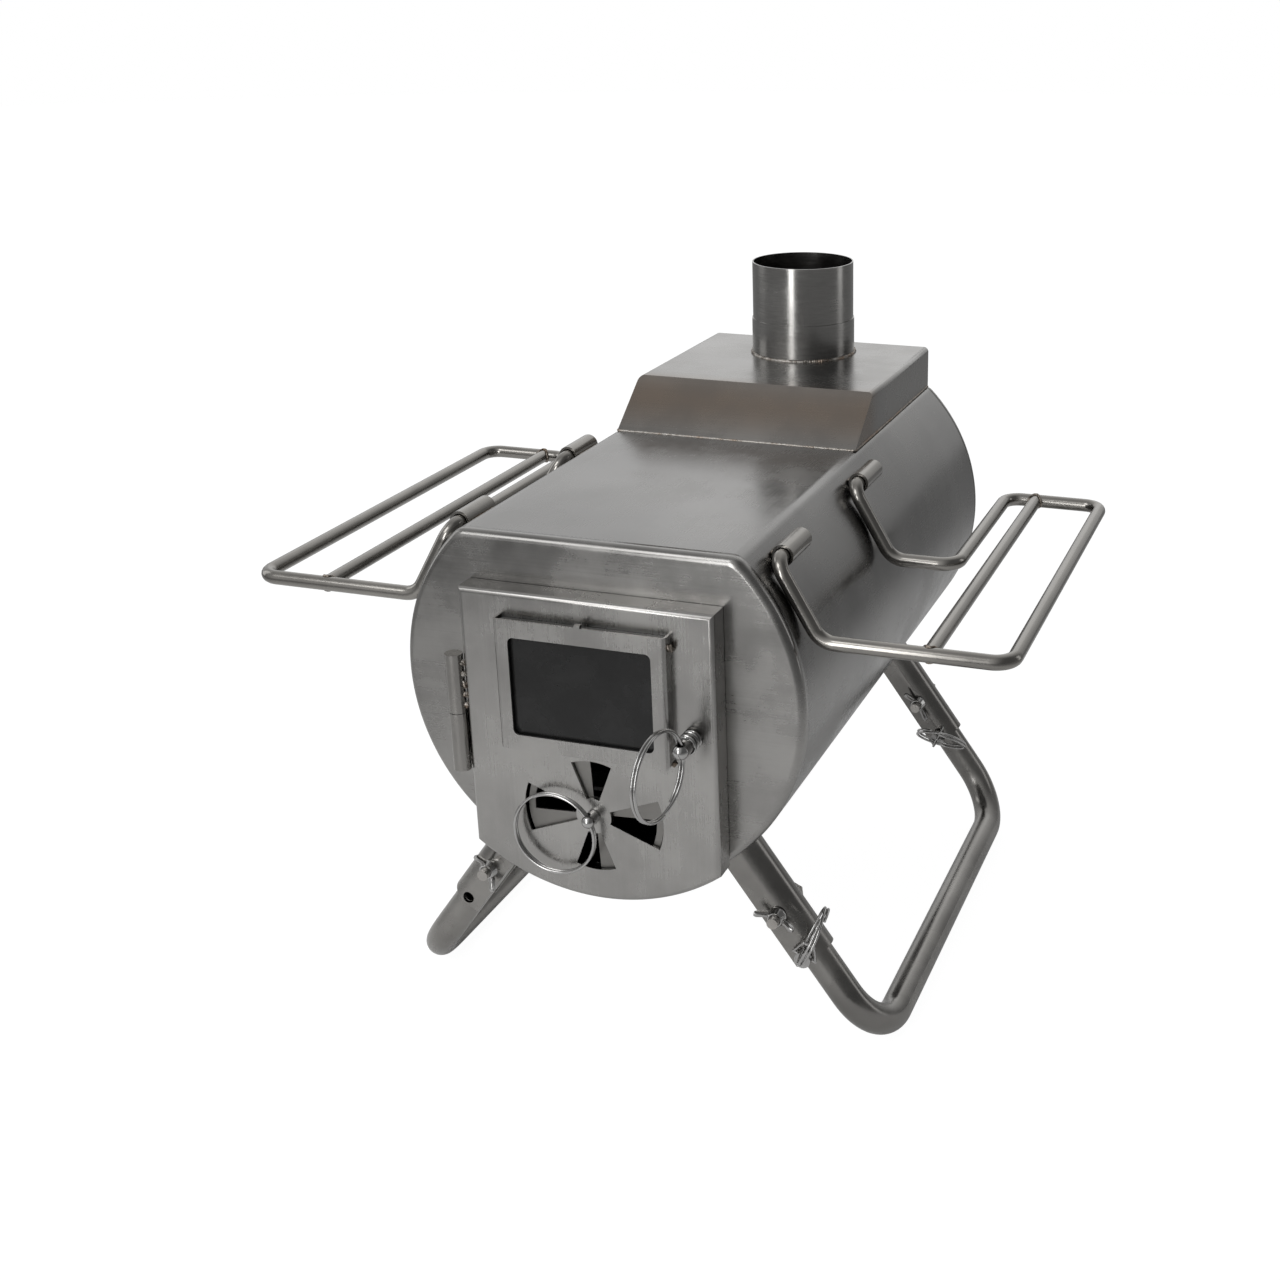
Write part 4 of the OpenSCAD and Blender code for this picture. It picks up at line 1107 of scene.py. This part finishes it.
@dataclass
class Studio:
    """A pale floor, soft lights and the photograph's camera."""

    eye: tuple[float, float, float] = (349.82, -713.48, 348.91)
    azimuth: float = 16.94
    elevation: float = 20.41
    roll: float = 0.16
    focal_px: float = 1741.11
    centre_px: tuple[float, float] = (857.44, 585.05)
    frame_px: float = 1280.0
    sensor_mm: float = 36.0
    light_around: float = 0.2
    light_behind: float = 0.62
    light_ahead: float = 0.4
    light_above: float = 0.25
    dark_right: float = 0.8
    strength: tuple[float, float] = (0.05, 0.95)
    white_in_metal: float = 0.12
    floor_r: float = 6.0
    floor_rough: float = 0.9
    floor_near: Colour = (0.92, 0.92, 0.92)
    # Painted shade: the far floor colour, seen only by rays other than the camera's, dims what the
    # metal reflects.
    floor_far_shade: Colour = (0.25, 0.25, 0.25)
    far_span: tuple[float, float] = (0.3, 1.0)
    glow: float = 1.12
    glow_share: float = 0.86
    lit_point: tuple[float, float, float] = (0.0, 120.0, 0.0)

    def build(self) -> None:
        """Sets the camera, the surroundings, the floor and the lights."""
        bpy.context.scene.view_settings.view_transform = "Standard"
        self._camera()
        self._world()
        self._floor()
        self._lights()

    def _camera(self) -> None:
        """Sets the camera where the photograph was taken from."""
        az, el, roll = (math.radians(v) for v in (self.azimuth, self.elevation, self.roll))
        ahead = Vector((-math.sin(az) * math.cos(el), math.cos(az) * math.cos(el), -math.sin(el)))
        level = Vector((math.cos(az), math.sin(az), 0))
        upward = level.cross(ahead)
        right = level * math.cos(roll) + upward * math.sin(roll)
        up = upward * math.cos(roll) - level * math.sin(roll)
        data = bpy.data.cameras.new("camera")
        data.sensor_width = self.sensor_mm
        data.sensor_fit = "HORIZONTAL"
        data.lens = self.focal_px / self.frame_px * self.sensor_mm
        data.shift_x = (self.frame_px / 2 - self.centre_px[0]) / self.frame_px
        data.shift_y = (self.centre_px[1] - self.frame_px / 2) / self.frame_px
        data.clip_end = 20.0
        camera = bpy.data.objects.new("camera", data)
        turn = Matrix((right, up, -ahead)).transposed().to_4x4()
        camera.matrix_world = Matrix.Translation(at(*self.eye)) @ turn
        bpy.context.scene.collection.objects.link(camera)
        bpy.context.scene.camera = camera

    def _seen_directly(self, tree: bpy.types.NodeTree) -> Value:
        """Gives how white the surroundings look: fully to the eye and through glass, less in metal."""
        rays = tree.nodes.new("ShaderNodeLightPath").outputs
        kinds = ("Is Camera Ray", "Is Glossy Ray", "Is Transmission Ray")
        camera, metal, through = (Value(tree, rays[kind]) for kind in kinds)
        return (camera + metal * self.white_in_metal + through).clamped()

    def _world(self) -> None:
        """Surrounds the stove with soft grey light that the camera sees as white."""
        world = bpy.data.worlds.new("studio")
        bpy.context.scene.world = world
        world.use_nodes = True
        tree = world.node_tree
        split = tree.nodes.new("ShaderNodeSeparateXYZ")
        tree.links.new(tree.nodes.new("ShaderNodeTexCoord").outputs["Generated"], split.inputs[0])
        x, y, z = (Value(tree, split.outputs[i]) for i in range(3))
        level = self.light_around + y.clamped() * self.light_behind
        level += (y * -1).clamped() * self.light_ahead + z.clamped() * self.light_above
        level -= x.clamped() * self.dark_right
        around, seen = tree.nodes["Background"], tree.nodes.new("ShaderNodeBackground")
        for shader in (around, seen):
            shader.inputs["Color"].default_value = WHITE
        tree.links.new(level.mapped(0.0, 1.0, *self.strength).socket, around.inputs["Strength"])
        mix = tree.nodes.new("ShaderNodeMixShader")
        tree.links.new(self._seen_directly(tree).socket, mix.inputs[0])
        tree.links.new(around.outputs[0], mix.inputs[1])
        tree.links.new(seen.outputs[0], mix.inputs[2])
        tree.links.new(mix.outputs[0], tree.nodes["World Output"].inputs[0])

    def _floor(self) -> None:
        """Lays a pale floor that keeps the stove's shadow and, in reflections, darkens far away as
        painted shade.
        """
        bm = bmesh.new()
        bmesh.ops.create_circle(bm, cap_ends=True, segments=64, radius=self.floor_r)
        surface = Surface("studio_floor")
        surface.shader.inputs["Roughness"].default_value = self.floor_rough
        away = (surface.x * surface.x + surface.y * surface.y) ** 0.5
        rays = surface.node("ShaderNodeLightPath").outputs
        # Painted shade: away from the stove the floor darkens for every ray but the camera's.
        far_shade = away.mapped(*self.far_span) * (1 - Value(surface.tree, rays["Is Camera Ray"]))
        surface.colour(surface.blend(far_shade, self.floor_near, self.floor_far_shade))
        glow = surface.node("ShaderNodeEmission", inputs={"Strength": self.glow}).outputs[0]
        share = self._seen_directly(surface.tree) * self.glow_share
        inputs = {0: share, 1: surface.shader.outputs[0], 2: glow}
        mix = surface.node("ShaderNodeMixShader", inputs=inputs)
        surface.tree.links.new(mix.outputs[0], surface.tree.nodes["Material Output"].inputs[0])
        mesh = bpy.data.meshes.new("studio_floor")
        bm.to_mesh(mesh)
        bm.free()
        mesh.materials.append(surface.material)
        floor = bpy.data.objects.new("studio_floor", mesh)
        bpy.context.scene.collection.objects.link(floor)

    def _lights(self) -> None:
        """Hangs the soft lights."""
        target = at(*self.lit_point)
        for lamp in LAMPS:
            data = bpy.data.lights.new(lamp.name, "AREA")
            data.shape = "RECTANGLE"
            data.size, data.size_y = lamp.size
            data.energy = lamp.watts
            light = bpy.data.objects.new(lamp.name, data)
            light.location = at(*lamp.place)
            light.visible_camera = False
            light.rotation_euler = (target - light.location).to_track_quat("-Z", "Y").to_euler()
            bpy.context.scene.collection.objects.link(light)


@dataclass
class Stove:
    """Builds the dressed stove in order."""

    finishes: Finishes = field(default_factory=Finishes)

    def build(self) -> None:
        """Dresses the CAD nodes and adds the detailed pieces."""
        Dressing(self.finishes).apply(frame["nodes"])
        Skin().make_all(self.finishes)
        Welds(self.finishes).lay_all()
        for ring in self._rings():
            ring.make(self.finishes.bright)
        LatchSpring().make(self.finishes.bright)
        for side, name in SIDES:
            ShelfRod(side, name).make(self.finishes.rod)
        for end, y in LEGS:
            for side, name in SIDES:
                where = f"{end}_{name}"
                WingNut(where, side, y, NUT_TURNS[where]).make(self.finishes.bright)

    @staticmethod
    def _rings() -> list[SplitRing]:
        """Places the four split rings where their CAD nodes are."""
        r = S.ring_mid_r * MM
        damper = (
            Matrix.Translation(at(0, -S.door_depth - S.damper_eye, -S.vent_drop))
            @ turned(S.damper_ring_turn, "Y")
            @ Matrix.Translation(Vector((-r, 0, 0)))
            @ turned(90, "X")
        )
        latch = (
            Matrix.Translation(at(S.door_w / 2 - S.latch_inset, -S.latch_eye, -S.latch_drop))
            @ turned(S.latch_ring_turn, "Z")
            @ turned(S.latch_ring_lean, "X")
            @ Matrix.Translation(Vector((0, -r, 0)))
            @ turned(90, "Y")
        )
        large = {"mid_r": S.ring_mid_r, "wire_d": S.ring_wire, "wire_share": 0.95}
        small = {"mid_r": S.lock_ring_mid_r, "wire_d": S.lock_ring_wire}
        rings = [
            SplitRing("damper_split_ring", "damper_ring", "damper_pull", place=damper, **large),
            SplitRing(
                "latch_split_ring", "latch_ring", "latch_pull", place=latch, start_turn=20, **large
            ),
        ]
        for end, _ in LEGS:
            node, body = f"lock_ring_{end}", f"pin_pull_{end}"
            place = lying_place(frame["nodes"][node])
            rings.append(SplitRing(f"lock_split_ring_{end}", node, body, place=place, **small))
        return rings


def lying_place(node: bpy.types.Object) -> Matrix:
    """Works out from a CAD ring's own mesh the matrix that takes a ring about Z to it."""
    points = [v.co for v in node.data.vertices]
    centre = Vector([(min(p[k] for p in points) + max(p[k] for p in points)) / 2 for k in range(3)])
    arms = sorted((p - centre for p in points), key=lambda arm: -arm.length)[: max(8, len(points) // 3)]
    x = arms[0].normalized()
    y = min(arms, key=lambda arm: abs(arm.normalized().dot(x)))
    y = (y - x * y.dot(x)).normalized()
    return Matrix.Translation(centre) @ Matrix((x, y, x.cross(y))).transposed().to_4x4()


def main() -> None:
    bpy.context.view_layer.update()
    Studio().build()
    Stove().build()


if __name__ == "__main__":
    main()
